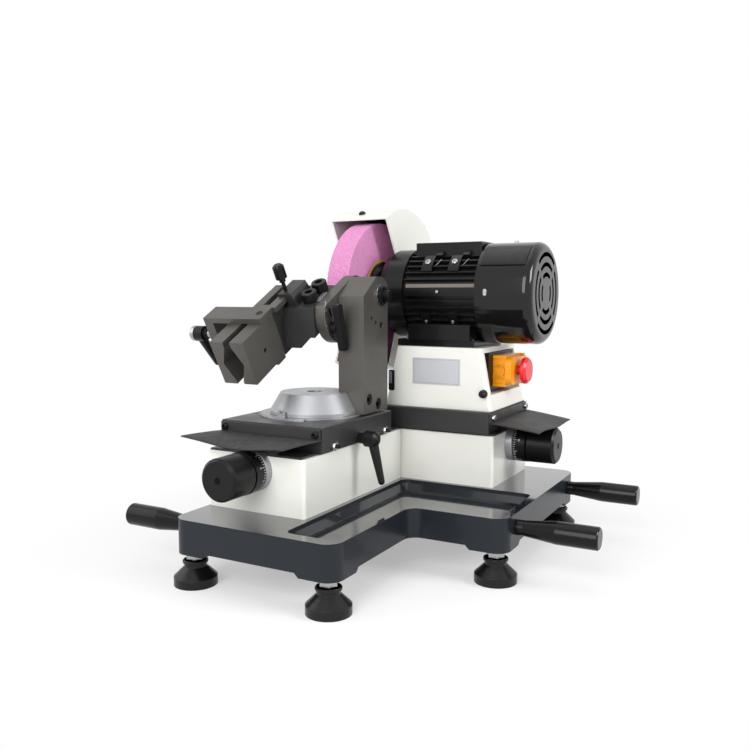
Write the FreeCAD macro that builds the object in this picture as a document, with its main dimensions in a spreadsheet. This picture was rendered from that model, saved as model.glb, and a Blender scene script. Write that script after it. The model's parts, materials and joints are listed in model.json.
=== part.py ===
import FreeCAD, Part
import Sketcher
import math
import operator
import os

SIZES = {
    # Levelling feet and lifting grips
    "foot_height": 46,
    "foot_radius": 30,
    "foot_rim": 12,
    "foot_collar_radius": 15.5,
    "foot_shoulder": 26,
    "foot_top": 35,
    "foot_inset": 22,
    "stud_radius": 6,
    "stud_seat": 10,
    "stud_reach": 18,
    "nut_height": 10,
    "nut_flats": 22,
    "grip_length": 116,
    "grip_radius": 16,
    "grip_root": 11,
    "grip_neck": 12,
    "grip_swell": 58,
    "grip_edge": 2,
    "grip_inset": 43,
    "grip_drop": 20,
    # Base casting
    "base_height": 49,
    "base_corner": 22,
    "notch_width": 145,
    "notch_depth": 207,
    "inner_corner": 20,
    "arch_rise": 6,
    "pad_length": 59,
    "base_wall": 12,
    "tray_depth": 15,
    "tray_floor": 8,
    "tray_rim": 7,
    "tray_gap": 8,
    "tray_front": 19,
    "tray_end": 13,
    "tray_corner": 12,
    "tray_slope": 9,
    "front_margin": 78,
    "side_margin": 1,
    "right_margin": 80,
    "back_margin": 20,
    # Pedestals, dovetail ways and slides
    "ped_width": 165,
    "ped_length": 291,
    "ped_height": 82,
    "ped_edge": 5,
    "right_reach": 160,
    "channel_width": 34,
    "channel_end": 18,
    "channel_drop": 18,
    "way_thickness": 3,
    "dovetail_neck": 76,
    "dovetail_flare": 8,
    "dovetail_height": 8,
    "way_back": 10,
    "slide_width": 178,
    "slide_length": 204,
    "slide_height": 35,
    "slide_edge": 1.5,
    "left_slide_front": 38,
    "right_slide_front": 6,
    "strip_inset": 3,
    "strip_height": 14,
    "strip_thickness": 4,
    "strip_drop": 2,
    "flap_inset": 1,
    "flap_length": 66,
    "flap_thickness": 2,
    "flap_sag": 8,
    # Feed screws, dials and knobs
    "screw_drop": 21,
    "screw_radius": 8,
    "screw_end_gap": 6,
    "feed_nut_width": 28,
    "feed_nut_length": 40,
    "feed_nut_drop": 14,
    "flange_radius": 30,
    "flange_thickness": 13,
    "dial_radius": 30,
    "dial_thickness": 20,
    "knob_radius": 29.5,
    "knob_length": 47,
    "knob_edge": 4,
    "knob_hole": 3.5,
    # Ratchet levers
    "lever_hub_radius": 12,
    "lever_hub_length": 31,
    "lever_arm_length": 64,
    "lever_arm_root": 8,
    "lever_arm_tip": 5,
    "lever_stud": 5,
    "lock_stud": 12,
    "lock_hole": 14,
    # Swivel cone and column
    "scale_ring_radius": 75,
    "scale_ring_bore": 57,
    "scale_ring_height": 2,
    "swivel_setback": 117,
    "cone_radius": 69,
    "cone_top_radius": 53,
    "cone_rim": 5,
    "cone_height": 32,
    "cone_seat": 13,
    "column_reach": 82.5,
    "column_width": 44,
    "column_depth": 77,
    "column_height": 208.5,
    "column_setback": 8,
    "column_chamfer_run": 40,
    "column_chamfer_drop": 30,
    "column_round": 22,
    "bolt_seat": 11,
    "low_bolt_back": 47,
    "low_bolt_rise": 11,
    "high_bolt_back": 18,
    "high_bolt_rise": 21,
    "pin_hole": 3,
    "front_pin_back": 25,
    "front_pin_rise": 145,
    "rear_pin_back": 38,
    "rear_pin_rise": 138,
    "stop_hole": 5,
    "stop_hole_back": 56,
    "stop_hole_rise": 134,
    "pivot_setback": 55,
    "pivot_height": 180,
    "bush_radius": 17,
    "bush_proud": 2,
    "pivot_radius": 11,
    "pivot_head": 4,
    "pivot_end": 10,
    # Swing arm and drill holder, in the tilted head frame
    "head_tilt": 29,
    "arm_thickness": 16.7,
    "arm_length": 54,
    "arm_lug_radius": 46.5,
    "arm_pivot_radius": 31,
    "spigot_radius": 9,
    "spigot_length": 11,
    "lug_lever_setback": 88,
    "lug_lever_drop": 6,
    "lug_lever_length": 72,
    "lug_lever_width": 13,
    "lug_lever_thickness": 10,
    "lug_lever_standoff": 10,
    "lug_lever_turn": 15,
    "block_width": 54,
    "block_top": 31,
    "block_bottom": 25,
    "block_front_top": 96,
    "block_front_bottom": 119,
    "block_back_top": 24,
    "block_back_bottom": 40,
    "block_bevel": 16,
    "carrier_back": 60,
    "carrier_lap": 5,
    "ear_top": 51,
    "ear_length": 46,
    "ear_setback": 89,
    "ear_overhang": 13,
    "ear_width": 31,
    "ear_slope": 8,
    "thumb_setback": 76,
    "thumb_stem": 3,
    "thumb_neck": 5,
    "thumb_radius": 9,
    "thumb_knob_base": 70,
    "thumb_top": 94,
    "cap_head_radius": 12,
    "cap_head_height": 15,
    "cap_shank": 8,
    "cap_pitch": 32,
    "cap_lead": 18,
    "cap_inset": 17,
    # V clamp
    "jaw_thickness": 23.5,
    "jaw_length": 83,
    "jaw_top": 38,
    "jaw_bottom": 33.5,
    "jaw_gap": 12.5,
    "vee_half": 29,
    "vee_depth": 12,
    "jaw_hole": 3.5,
    "yoke_reach": 106,
    "yoke_length": 35,
    "yoke_setback": 31,
    "yoke_thickness": 8.5,
    "yoke_leg": 16,
    "yoke_drop": 12,
    "rail_width": 42,
    "rail_reach": 6,
    "rail_thickness": 7.7,
    "rail_length": 70,
    "rail_slot": 12,
    "clamp_screw_radius": 6,
    "clamp_tip_radius": 4,
    "clamp_tip_length": 8,
    "clamp_screw_height": 8,
    "clamp_screw_proud": 18,
    # Motor, wheel and guard
    "shaft_height": 75,
    "motor_left": 6,
    "motor_length": 132,
    "motor_core": 67,
    "motor_bore": 57,
    "motor_end_wall": 12,
    "fin_radius": 75,
    "fin_thickness": 2.4,
    "fin_count": 40,
    "top_pad_start": 4,
    "top_pad_length": 116,
    "top_pad_width": 76,
    "top_pad_height": 83,
    "motor_foot_width": 34,
    "motor_foot_spread": 76,
    "motor_foot_top": 50,
    "motor_foot_end": 12,
    "shield_length": 45,
    "shield_radius": 74,
    "shield_edge": 12,
    "bearing_radius": 23,
    "bearing_width": 10,
    "stator_bore": 36.5,
    "rotor_radius": 36,
    "core_length": 84,
    "core_end": 16,
    "cover_radius": 81.5,
    "cover_length": 91,
    "cover_wall": 2,
    "cover_edge": 13,
    "grille_rings": 3,
    "grille_first": 22,
    "grille_pitch": 16,
    "grille_slot": 7,
    "grille_spoke": 9,
    "fan_radius": 68,
    "fan_width": 24,
    "fan_hub": 24,
    "fan_blades": 8,
    "fan_blade_thickness": 3,
    "fan_gap": 16,
    "shaft_radius": 12.5,
    "wheel_radius": 122,
    "wheel_width": 40,
    "wheel_bore": 16,
    "wheel_setback": 30,
    "wheel_flange_radius": 55,
    "wheel_flange_width": 12,
    "spindle_nut_flats": 36,
    "spindle_nut_height": 13,
    "spindle_end": 4,
    "guard_radius": 142,
    "guard_back": 31.5,
    "guard_rise": 5,
    "guard_width": 111,
    "guard_sheet": 2.5,
    "guard_side": 3,
    "mouth_back": 3,
    "mouth_rise": 6,
    "mouth_upper_run": 70,
    "mouth_upper_rise": 117,
    "mouth_lower_run": 57,
    "mouth_lower_drop": 134,
    # Motor stand and switch
    "stand_left": 34,
    "stand_lean_left": 21.5,
    "stand_lean_right": 19,
    "stand_height": 99,
    "stand_inset": 12,
    "stand_depth": 162,
    "stand_wall": 4,
    "recess_depth": 30,
    "recess_front": 12,
    "recess_width": 138,
    "recess_low": 25,
    "recess_top": 8,
    "plate_left": 18,
    "plate_gap": 6,
    "plate_width": 124,
    "plate_thickness": 11,
    "backbox_width": 110,
    "backbox_top": 1,
    "backbox_depth": 12,
    "backbox_front": 22,
    "backbox_low": 3,
    "switch_width": 68,
    "switch_top": 5,
    "switch_depth": 22,
    "switch_front": 20,
    "switch_low": 6,
    "switch_edge": 4,
    "flap_cover": 10,
    "flap_tab": 5,
    "hinge_pin": 2,
    "hinge_knuckle": 3.5,
    "hinge_lug": 3,
    "stop_radius": 22,
    "stop_height": 10,
    "stop_stem": 8,
    "stop_proud": 8,
    "stop_setback": 34,
    "start_radius": 7,
    "start_height": 8,
    "start_travel": 3,
    "start_setback": 18,
    "gland_radius": 6.5,
    "gland_length": 13,
    "gland_inset": 12.5,
    "gland_height": 28,
    # Clearances
    "running_gap": 0.05,
    "slide_gap": 0.15,
    "body_gap": 0.3,
    "fit_gap": 0.02,
}

doc = FreeCAD.newDocument("DrillBitSharpener")
nodes = []
cuts = []


class Size:
    """A number that keeps the sheet expression it comes from."""

    def __init__(self, value, text):
        self.value = value
        self.text = text

    def __add__(self, other):
        return combine(self, other, operator.add, "+")

    def __radd__(self, other):
        return combine(other, self, operator.add, "+")

    def __sub__(self, other):
        return combine(self, other, operator.sub, "-")

    def __rsub__(self, other):
        return combine(other, self, operator.sub, "-")

    def __mul__(self, other):
        return combine(self, other, operator.mul, "*")

    def __rmul__(self, other):
        return combine(other, self, operator.mul, "*")

    def __truediv__(self, other):
        return combine(self, other, operator.truediv, "/")

    def __neg__(self):
        return combine(0, self, operator.sub, "-")


class Sheet:
    """The spreadsheet of sizes, one alias for each."""

    def __init__(self, sizes):
        cells = doc.addObject("Spreadsheet::Sheet", "Sizes")
        for row, (name, number) in enumerate(sizes.items(), 1):
            cells.set(f"A{row}", name)
            cells.set(f"B{row}", str(number))
            cells.setAlias(f"B{row}", name)
            setattr(self, name, Size(number, f"Sizes.{name}"))


def as_size(item):
    return item if isinstance(item, Size) else Size(item, f"({item})")


def combine(first, second, action, sign):
    first = as_size(first)
    second = as_size(second)
    return Size(action(first.value, second.value), f"({first.text} {sign} {second.text})")


def cosine(angle):
    return Size(math.cos(math.radians(angle.value)), f"cos({angle.text})")


def sine(angle):
    return Size(math.sin(math.radians(angle.value)), f"sin({angle.text})")


def bind(item, name, size):
    item.setExpression(name, as_size(size).text)


s = Sheet(SIZES)
doc.recompute()

# Levels and lines of the layout: x to the right, y to the back, z up,
# measured from the front right corner of the left pedestal.
deck = s.foot_height + s.base_height
ped_top = deck + s.ped_height
way_top = ped_top + s.way_thickness
dovetail_top = way_top + s.dovetail_height
slide_top = way_top + s.slide_height
screw_z = ped_top - s.screw_drop
base_left = -s.ped_width - s.side_margin
base_right = s.right_reach + s.right_margin
base_front = -s.front_margin
base_back = s.ped_length + s.ped_width + s.back_margin
notch_x = base_right - s.notch_width
notch_y = base_front + s.notch_depth
left_axis = -s.ped_width / 2
right_axis = s.ped_length + s.ped_width / 2
knob_end = s.flange_thickness + s.dial_thickness + s.knob_length
guard_y = right_axis + s.guard_back
stand_top = slide_top + s.stand_height
plate_top = stand_top + s.plate_thickness
motor_z = plate_top + s.shaft_height
guard_z = motor_z + s.guard_rise
origin_x = (base_left + base_right) / 2
origin_y = (guard_y + s.guard_radius + base_front + s.foot_inset - s.foot_radius) / 2
swivel_x = left_axis
swivel_y = s.left_slide_front + s.swivel_setback
cone_bottom = slide_top + s.scale_ring_height + s.body_gap
column_right = swivel_x + s.column_reach
column_left = column_right - s.column_width
column_y = swivel_y + s.column_setback
pivot_y = column_y + s.pivot_setback
pivot_z = cone_bottom + s.pivot_height
arm_right = column_left - s.body_gap
arm_left = arm_right - s.arm_thickness
block_right = arm_left - s.body_gap
jaw_right = block_right - s.block_width
jaw_left = jaw_right - s.jaw_thickness
moving_right = jaw_left - s.jaw_gap
moving_left = moving_right - s.jaw_thickness
carrier_front = s.block_front_bottom + s.carrier_lap
jaw_back = -carrier_front - s.body_gap
jaw_front = jaw_back - s.jaw_length
clamp_u = jaw_back - s.yoke_setback + s.yoke_length / 2
motor_right = s.motor_length - s.motor_left
shield_left = -s.motor_left - s.shield_length
wheel_right = shield_left - s.wheel_setback
wheel_left = wheel_right - s.wheel_width
stand_front = right_axis - s.slide_width / 2 + s.stand_inset
stand_right = s.right_reach - s.right_slide_front
recess_floor = stand_right - s.recess_depth
switch_y = stand_front + s.recess_front + s.backbox_front + s.switch_front
recess_height = s.stand_height - s.recess_low - s.recess_top
backbox_height = recess_height - s.backbox_low - s.backbox_top
switch_height = backbox_height - s.switch_low - s.switch_top
switch_z = slide_top + s.recess_low + s.backbox_low + s.switch_low
switch_x = recess_floor + s.backbox_depth + s.switch_depth
flap_x = switch_x + s.body_gap

NORMALS = {"XY": 1, "YZ": 1, "XZ": -1}
AXES = {
    "X": ((0, 1, 0), 90),
    "-X": ((0, 1, 0), -90),
    "Y": ((1, 0, 0), -90),
    "-Y": ((1, 0, 0), 90),
    "Z": ((0, 0, 1), 0),
}


class Frame:
    """A place in the layout where a piece is drawn."""

    def __init__(self, x=0, y=0, z=0, axis=(0, 0, 1), angle=0):
        self.base = (as_size(x) - origin_x, as_size(y) - origin_y, as_size(z))
        self.axis = FreeCAD.Vector(*axis)
        self.angle = as_size(angle)

    def hold(self, item):
        base = FreeCAD.Vector(*[part.value for part in self.base])
        item.Placement = FreeCAD.Placement(base, FreeCAD.Rotation(self.axis, self.angle.value))
        for name, part in zip("xyz", self.base):
            bind(item, f"Placement.Base.{name}", part)
        if "Sizes" in self.angle.text:
            bind(item, "Placement.Rotation.Angle", self.angle)
        return item


def along(axis, x, y, z):
    """A frame whose local z runs along the named axis."""
    return Frame(x, y, z, *AXES[axis])


def head_point(u, v):
    """Layout y and z of a point of the tilted head."""
    y = pivot_y + u * cosine(s.head_tilt) - v * sine(s.head_tilt)
    z = pivot_z + u * sine(s.head_tilt) + v * cosine(s.head_tilt)
    return y, z


layout = Frame()
head = Frame(0, pivot_y, pivot_z, (1, 0, 0), s.head_tilt)


def pin_point(sketch, edge, end, across, up):
    for kind, item in (("DistanceX", across), ("DistanceY", up)):
        size = as_size(item)
        rule = Sketcher.Constraint(kind, -1, 1, edge, end, size.value)
        index = sketch.addConstraint(rule)
        sketch.setExpression(f"Constraints[{index}]", size.text)


def draw_polygon(sketch, points):
    corners = [FreeCAD.Vector(as_size(a).value, as_size(b).value, 0) for a, b in points]
    count = len(corners)
    for index, corner in enumerate(corners):
        sketch.addGeometry(Part.LineSegment(corner, corners[(index + 1) % count]), False)
    for index in range(count):
        sketch.addConstraint(Sketcher.Constraint("Coincident", index, 2, (index + 1) % count, 1))
    for index, (across, up) in enumerate(points):
        pin_point(sketch, index, 1, across, up)


def draw_circles(sketch, circles):
    for index, (across, up, radius) in enumerate(circles):
        centre = FreeCAD.Vector(as_size(across).value, as_size(up).value, 0)
        circle = Part.Circle(centre, FreeCAD.Vector(0, 0, 1), as_size(radius).value)
        sketch.addGeometry(circle, False)
        pin_point(sketch, index, 3, across, up)
        rule = sketch.addConstraint(Sketcher.Constraint("Radius", index, as_size(radius).value))
        sketch.setExpression(f"Constraints[{rule}]", as_size(radius).text)


def rectangle(left, right, low, high):
    return [(left, low), (right, low), (right, high), (left, high)]


class Piece:
    """A PartDesign body built feature by feature in its own frame."""

    def __init__(self, label, frame):
        self.body = doc.addObject("PartDesign::Body", label)
        self.body.Label = label
        frame.hold(self.body)

    def datum(self, role):
        return next(item for item in self.body.Origin.OriginFeatures if item.Role == role)

    def sketch(self, plane, height, draw, shapes):
        sketch = self.body.newObject("Sketcher::SketchObject", f"{self.body.Name}_sketch")
        sketch.AttachmentSupport = [(self.datum(f"{plane}_Plane"), "")]
        sketch.MapMode = "FlatFace"
        bind(sketch, "AttachmentOffset.Base.z", height)
        draw(sketch, shapes)
        sketch.Visibility = False
        return sketch

    def extrude(self, kind, plane, draw, shapes, start, end):
        cutting = kind == "Pocket"
        sign = NORMALS[plane]
        side = end if cutting == (sign > 0) else start
        sketch = self.sketch(plane, sign * side, draw, shapes)
        feature = self.body.newObject(f"PartDesign::{kind}", f"{self.body.Name}_{kind}")
        feature.Profile = sketch
        bind(feature, "Length", end - start)
        if cutting:
            cuts.append(feature)
        return feature

    def pad(self, plane, points, start, end):
        return self.extrude("Pad", plane, draw_polygon, points, start, end)

    def pocket(self, plane, points, start, end):
        return self.extrude("Pocket", plane, draw_polygon, points, start, end)

    def boss(self, plane, circles, start, end):
        return self.extrude("Pad", plane, draw_circles, circles, start, end)

    def hole(self, plane, circles, start, end):
        return self.extrude("Pocket", plane, draw_circles, circles, start, end)

    def revolve(self, points):
        sketch = self.sketch("XZ", 0, draw_polygon, points)
        feature = self.body.newObject("PartDesign::Revolution", f"{self.body.Name}_turning")
        feature.Profile = sketch
        feature.ReferenceAxis = (sketch, ["V_Axis"])
        feature.Angle = 360
        return feature

    def pattern(self, feature, axis, count):
        ring = self.body.newObject("PartDesign::PolarPattern", f"{self.body.Name}_ring")
        ring.Originals = [feature]
        ring.Axis = (self.datum(axis), [""])
        ring.Angle = 360
        bind(ring, "Occurrences", count)
        self.body.Tip = ring
        return ring

    def dress(self, kind, size, wanted):
        """Fillet or chamfer the edges of the latest shape that pass a test."""
        doc.recompute()
        tip = self.body.Tip
        names = [f"Edge{index}" for index, edge in enumerate(tip.Shape.Edges, 1) if wanted(edge)]
        if not names:
            raise RuntimeError(f"No edge to dress on {self.body.Label}")
        feature = self.body.newObject(f"PartDesign::{kind}", f"{self.body.Name}_{kind}")
        feature.Base = (tip, names)
        bind(feature, "Radius" if kind == "Fillet" else "Size", size)
        return feature


def node(item, label):
    item.Label = label
    nodes.append(item)
    return item


def turned(label, frame, points):
    piece = Piece(label, frame)
    piece.revolve(points)
    return piece


def compound(label, items):
    group = doc.addObject("Part::Compound", label)
    group.Links = items
    return node(group, label)


def cut(label, base, tool):
    result = doc.addObject("Part::Cut", label)
    result.Base = base
    result.Tool = tool
    return result


def prism(label, frame, flats, height):
    item = frame.hold(doc.addObject("Part::Prism", label))
    item.Polygon = 6
    bind(item, "Circumradius", flats / math.sqrt(3))
    bind(item, "Height", height)
    return item


def cylinder(label, frame, radius, height):
    item = frame.hold(doc.addObject("Part::Cylinder", label))
    bind(item, "Radius", radius)
    bind(item, "Height", height)
    return item


def straight(edge, direction):
    """True for a straight edge along a direction."""
    if not isinstance(edge.Curve, Part.Line):
        return False
    return abs(abs(edge.Curve.Direction.dot(FreeCAD.Vector(*direction))) - 1) < 1e-6


def middle(edge):
    return edge.valueAt((edge.FirstParameter + edge.LastParameter) / 2)


def round_edge(radius, height):
    """A test for full circles about local z at one height."""
    def wanted(edge):
        if not isinstance(edge.Curve, Part.Circle):
            return False
        return (abs(edge.Curve.Radius - radius.value) < 1e-4
                and abs(edge.Curve.Center.z - height.value) < 1e-4)
    return wanted


def cap_screw(label, frame, head_radius, head_height, shank, reach):
    """A socket head screw with its seat at local zero."""
    body = turned(f"{label}_body", frame, [
        (0, -reach), (shank, -reach), (shank, 0), (head_radius, 0),
        (head_radius, head_height - 1), (head_radius - 1, head_height), (0, head_height)])
    key = body.body
    socket = Piece(f"{label}_socket", frame)
    half = head_radius * 0.55
    flat = half * math.sqrt(3) / 2
    socket.pad("XY", [(half, 0), (half / 2, flat), (-half / 2, flat), (-half, 0),
                      (-half / 2, -flat), (half / 2, -flat)], head_height / 2, head_height + 1)
    return cut(label, key, socket.body)


# Base casting: an L-shaped tray on five pads.
outline = [(base_left, base_front), (notch_x, base_front), (notch_x, notch_y),
           (base_right, notch_y), (base_right, base_back), (base_left, base_back)]
feet = [(base_left, base_front, 1, 1), (notch_x, base_front, -1, 1), (base_right, notch_y, -1, 1),
        (base_right, base_back, -1, -1), (base_left, base_back, 1, -1)]


def casting():
    piece = Piece("base_casting", layout)
    roof = deck - s.tray_depth - s.tray_floor
    skirt = s.foot_height + s.arch_rise
    piece.pad("XY", outline, skirt, deck)
    wall = s.base_wall
    piece.pocket("XY", [
        (base_left + wall, base_front + wall), (notch_x - wall, base_front + wall),
        (notch_x - wall, notch_y + wall), (base_right - wall, notch_y + wall),
        (base_right - wall, base_back - wall), (base_left + wall, base_back - wall)], skirt, roof)
    for x, y, side, back in feet:
        across = sorted((x, x + side * s.pad_length), key=lambda item: item.value)
        deep = sorted((y, y + back * s.pad_length), key=lambda item: item.value)
        piece.pad("XY", rectangle(*across, *deep), s.foot_height, roof + 1)

    def inner_pad_edge(edge):
        point = middle(edge)
        low = abs(point.z - s.foot_height.value) < 1e-3
        return low and not on_outline(point)

    piece.dress("Chamfer", s.arch_rise - 0.5, inner_pad_edge)
    tray_left = s.tray_gap
    tray_back = s.ped_length - s.tray_gap
    piece.pocket("XY", [
        (tray_left, base_front + s.tray_front), (notch_x - s.tray_rim, base_front + s.tray_front),
        (notch_x - s.tray_rim, notch_y + s.tray_rim), (base_right - s.tray_end, notch_y + s.tray_rim),
        (base_right - s.tray_end, tray_back), (tray_left, tray_back)], deck - s.tray_depth, deck)
    floor = (deck - s.tray_depth).value

    def tray_corner(edge):
        return straight(edge, (0, 0, 1)) and abs(middle(edge).z - (floor + deck.value) / 2) < 1e-3

    def tray_foot(edge):
        return abs(middle(edge).z - floor) < 1e-3

    piece.dress("Fillet", s.tray_corner, tray_corner)

    piece.dress("Chamfer", s.tray_slope, tray_foot)

    def outer_corner(edge):
        return straight(edge, (0, 0, 1)) and corner_of(middle(edge), convex=True)

    def inner_corner(edge):
        return straight(edge, (0, 0, 1)) and corner_of(middle(edge), convex=False)

    piece.dress("Fillet", s.base_corner, outer_corner)
    piece.dress("Fillet", s.inner_corner, inner_corner)
    holes = [(x + side * s.foot_inset, y + back * s.foot_inset, s.stud_radius + s.fit_gap)
             for x, y, side, back in feet]
    piece.hole("XY", holes, s.foot_height, s.foot_height + s.stud_reach)
    return piece.body


def on_outline(point):
    ends = [FreeCAD.Vector(a.value, b.value, point.z) for a, b in outline]
    for index, first in enumerate(ends):
        second = ends[(index + 1) % len(ends)]
        if Part.LineSegment(first, second).toShape().distToShape(Part.Vertex(point))[0] < 0.01:
            return True
    return False


def corner_of(point, convex):
    for index, (x, y) in enumerate(outline):
        near = math.hypot(point.x - x.value, point.y - y.value) < 0.01
        if near and (index == 2) != convex:
            return True
    return False


node(casting(), "base_casting")

# Levelling feet with studs and lock nuts.
pads = []
studs = []
for number, (x, y, side, back) in enumerate(feet, 1):
    centre_x = x + side * s.foot_inset
    centre_y = y + back * s.foot_inset
    bore = s.stud_radius + s.fit_gap
    pads.append(turned(f"foot_pad_{number}", Frame(centre_x, centre_y, 0), [
        (0, 0), (s.foot_radius, 0), (s.foot_radius, s.foot_rim),
        (s.foot_collar_radius, s.foot_shoulder), (s.foot_collar_radius, s.foot_top),
        (bore, s.foot_top), (bore, s.stud_seat), (0, s.stud_seat)]).body)
    studs.append(cylinder(f"stud_{number}", Frame(centre_x, centre_y, s.stud_seat), s.stud_radius,
                          s.foot_height + s.stud_reach - s.stud_seat))
    nut_low = s.foot_height - s.nut_height
    nut = prism(f"stud_nut_{number}", Frame(centre_x, centre_y, nut_low), s.nut_flats, s.nut_height)
    hole = cylinder(f"stud_nut_hole_{number}", Frame(centre_x, centre_y, nut_low), bore, s.nut_height)
    studs.append(cut(f"lock_nut_{number}", nut, hole))
compound("foot_pads", pads)
compound("foot_studs", studs)

# Lifting grips on the two sides.
grip_z = deck - s.grip_drop
grip_back = base_back - s.grip_inset
grip_spots = [("X", base_right, notch_y + s.grip_inset), ("X", base_right, grip_back),
              ("-X", base_left, base_front + s.grip_inset), ("-X", base_left, grip_back)]
grips = []
for number, (axis, x, y) in enumerate(grip_spots, 1):
    grip = turned(f"grip_{number}", along(axis, x, y, grip_z), [
        (0, 0), (s.grip_root, 0), (s.grip_root, s.grip_neck), (s.grip_radius, s.grip_swell),
        (s.grip_radius, s.grip_length - s.grip_edge), (s.grip_radius - s.grip_edge, s.grip_length),
        (0, s.grip_length)])
    grips.append(grip.body)
compound("lift_grips", grips)


class Unit:
    """One pedestal with its slide and feed screw; local y runs back from the knob."""

    def __init__(self, name, slide_front):
        self.name = name
        self.front = slide_front
        self.left = name == "left"
        if self.left:
            self.frame = Frame(left_axis, 0, 0)
        else:
            self.frame = Frame(s.right_reach, right_axis, 0, (0, 0, 1), 90)

    def spindle(self, label, points):
        """A turned piece on the feed screw; height runs out of the pedestal."""
        if self.left:
            frame = along("-Y", left_axis, 0, screw_z)
        else:
            frame = along("X", s.right_reach, right_axis, screw_z)
        return turned(f"{self.name}_{label}", frame, points).body

    def piece(self, label):
        return Piece(f"{self.name}_{label}", self.frame)

    def pedestal(self):
        piece = self.piece("pedestal")
        half = s.ped_width / 2
        piece.pad("XY", rectangle(-half, half, 0, s.ped_length), deck, ped_top)
        channel = s.channel_width / 2
        piece.pocket("XY", rectangle(-channel, channel, s.channel_end, s.ped_length - s.channel_end),
                     screw_z - s.channel_drop, ped_top)
        piece.hole("XZ", [(0, screw_z, s.screw_radius + s.running_gap)], 0, s.channel_end)
        corner = half.value

        def upright(edge):
            return straight(edge, (0, 0, 1)) and abs(abs(middle(edge).x) - corner) < 1e-3

        piece.dress("Fillet", s.ped_edge, upright)
        return piece.body

    def way(self):
        piece = self.piece("way")
        half = s.ped_width / 2 - s.ped_edge
        neck = s.dovetail_neck / 2
        flare = neck + s.dovetail_flare
        piece.pad("XZ", [(-half, ped_top), (half, ped_top), (half, way_top), (neck, way_top),
                         (flare, dovetail_top), (-flare, dovetail_top), (-neck, way_top),
                         (-half, way_top)], 0, s.ped_length - s.way_back)
        channel = s.channel_width / 2
        piece.pocket("XY", rectangle(-channel, channel, s.channel_end, s.ped_length - s.channel_end),
                     ped_top, dovetail_top)
        return piece.body

    def slide(self):
        piece = self.piece("slide")
        half = s.slide_width / 2
        neck = s.dovetail_neck / 2 + s.body_gap * 2
        flare = neck + s.dovetail_flare
        roof = dovetail_top + s.body_gap
        bottom = way_top + s.slide_gap
        piece.pad("XZ", [(-half, bottom), (-neck, bottom), (-flare, roof), (flare, roof),
                         (neck, bottom), (half, bottom), (half, slide_top), (-half, slide_top)],
                  self.front, self.front + s.slide_length)
        top = slide_top.value
        side = half.value

        def arris(edge):
            point = middle(edge)
            upper = abs(point.z - top) < 1e-3
            return upper or (straight(edge, (0, 0, 1)) and abs(abs(point.x) - side) < 1e-3)

        piece.dress("Chamfer", s.slide_edge, arris)
        if self.left:
            centre = self.front + s.swivel_setback
            piece.hole("XY", [(0, centre, s.stud_radius + s.running_gap)],
                       roof + 4, slide_top)
            lock_z = way_top + s.lever_stud + 1
            lock_y = self.front + s.slide_length / 2
            piece.hole("YZ", [(lock_y, lock_z, s.lever_stud - 1 + s.running_gap)], half - s.lock_hole, half)
        return piece.body

    def strip(self):
        piece = self.piece("end_strip")
        half = s.slide_width / 2 - s.strip_inset
        high = slide_top - s.strip_drop
        piece.pad("XZ", rectangle(-half, half, high - s.strip_height, high),
                  self.front - s.strip_thickness, self.front)
        return piece.body

    def flap(self):
        """A rubber apron hanging forward from under the strip."""
        piece = self.piece("flap")
        half = s.slide_width / 2 - s.flap_inset
        high = slide_top - s.strip_drop - s.strip_height
        low = high - s.flap_thickness
        bend = self.front - s.flap_length * 0.45
        tip = self.front - s.flap_length
        sag = s.flap_sag
        piece.pad("YZ", [(self.front, high), (bend, high - sag * 0.25), (tip, high - sag),
                         (tip, low - sag), (bend, low - sag * 0.25), (self.front, low)], -half, half)
        return piece.body

    def nut(self):
        piece = self.piece("feed_nut")
        half = s.feed_nut_width / 2
        start = self.front + s.slide_length / 2 - s.feed_nut_length / 2
        end = start + s.feed_nut_length
        piece.pad("XY", rectangle(-half, half, start, end), screw_z - s.feed_nut_drop,
                  dovetail_top + s.body_gap)
        piece.hole("XZ", [(0, screw_z, s.screw_radius + s.running_gap)], start, end)
        return piece.body

    def flange(self):
        bore = s.screw_radius + s.running_gap
        rim = s.flange_thickness
        return self.spindle("flange", [
            (bore, 0), (s.flange_radius, 0), (s.flange_radius, rim - 2),
            (s.flange_radius - 2, rim), (bore, rim)])

    def dial(self):
        low = s.flange_thickness + s.body_gap
        high = s.flange_thickness + s.dial_thickness
        bore = s.screw_radius + s.fit_gap
        return self.spindle("dial", rectangle(bore, s.dial_radius, low, high))

    def knob(self):
        low = s.flange_thickness + s.dial_thickness
        high = low + s.knob_length
        radius = s.knob_radius
        bore = s.screw_radius + s.fit_gap
        seat = high - 14
        return self.spindle("knob", [
            (bore, low), (radius - 2, low), (radius, low + 3), (radius, high - s.knob_edge),
            (radius - s.knob_edge, high), (s.knob_hole, high), (s.knob_hole, high - 6),
            (0, high - 6), (0, seat), (bore, seat)])

    def leadscrew(self):
        inner = s.channel_end + s.screw_end_gap - s.ped_length
        seat = knob_end - 14
        return self.spindle("leadscrew", [(0, inner), (s.screw_radius, inner),
                                          (s.screw_radius, seat), (0, seat)])


units = [Unit("left", s.left_slide_front), Unit("right", s.right_slide_front)]
for unit in units:
    node(unit.pedestal(), f"{unit.name}_pedestal")
    node(unit.slide(), f"{unit.name}_slide")
    node(unit.strip(), f"{unit.name}_end_strip")
    node(unit.flap(), f"{unit.name}_flap")
    node(unit.nut(), f"{unit.name}_feed_nut")
    node(unit.leadscrew(), f"{unit.name}_leadscrew")
    node(unit.dial(), f"{unit.name}_dial")
    node(unit.knob(), f"{unit.name}_knob")
compound("way_plates", [unit.way() for unit in units])
compound("knob_flanges", [unit.flange() for unit in units])


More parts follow.
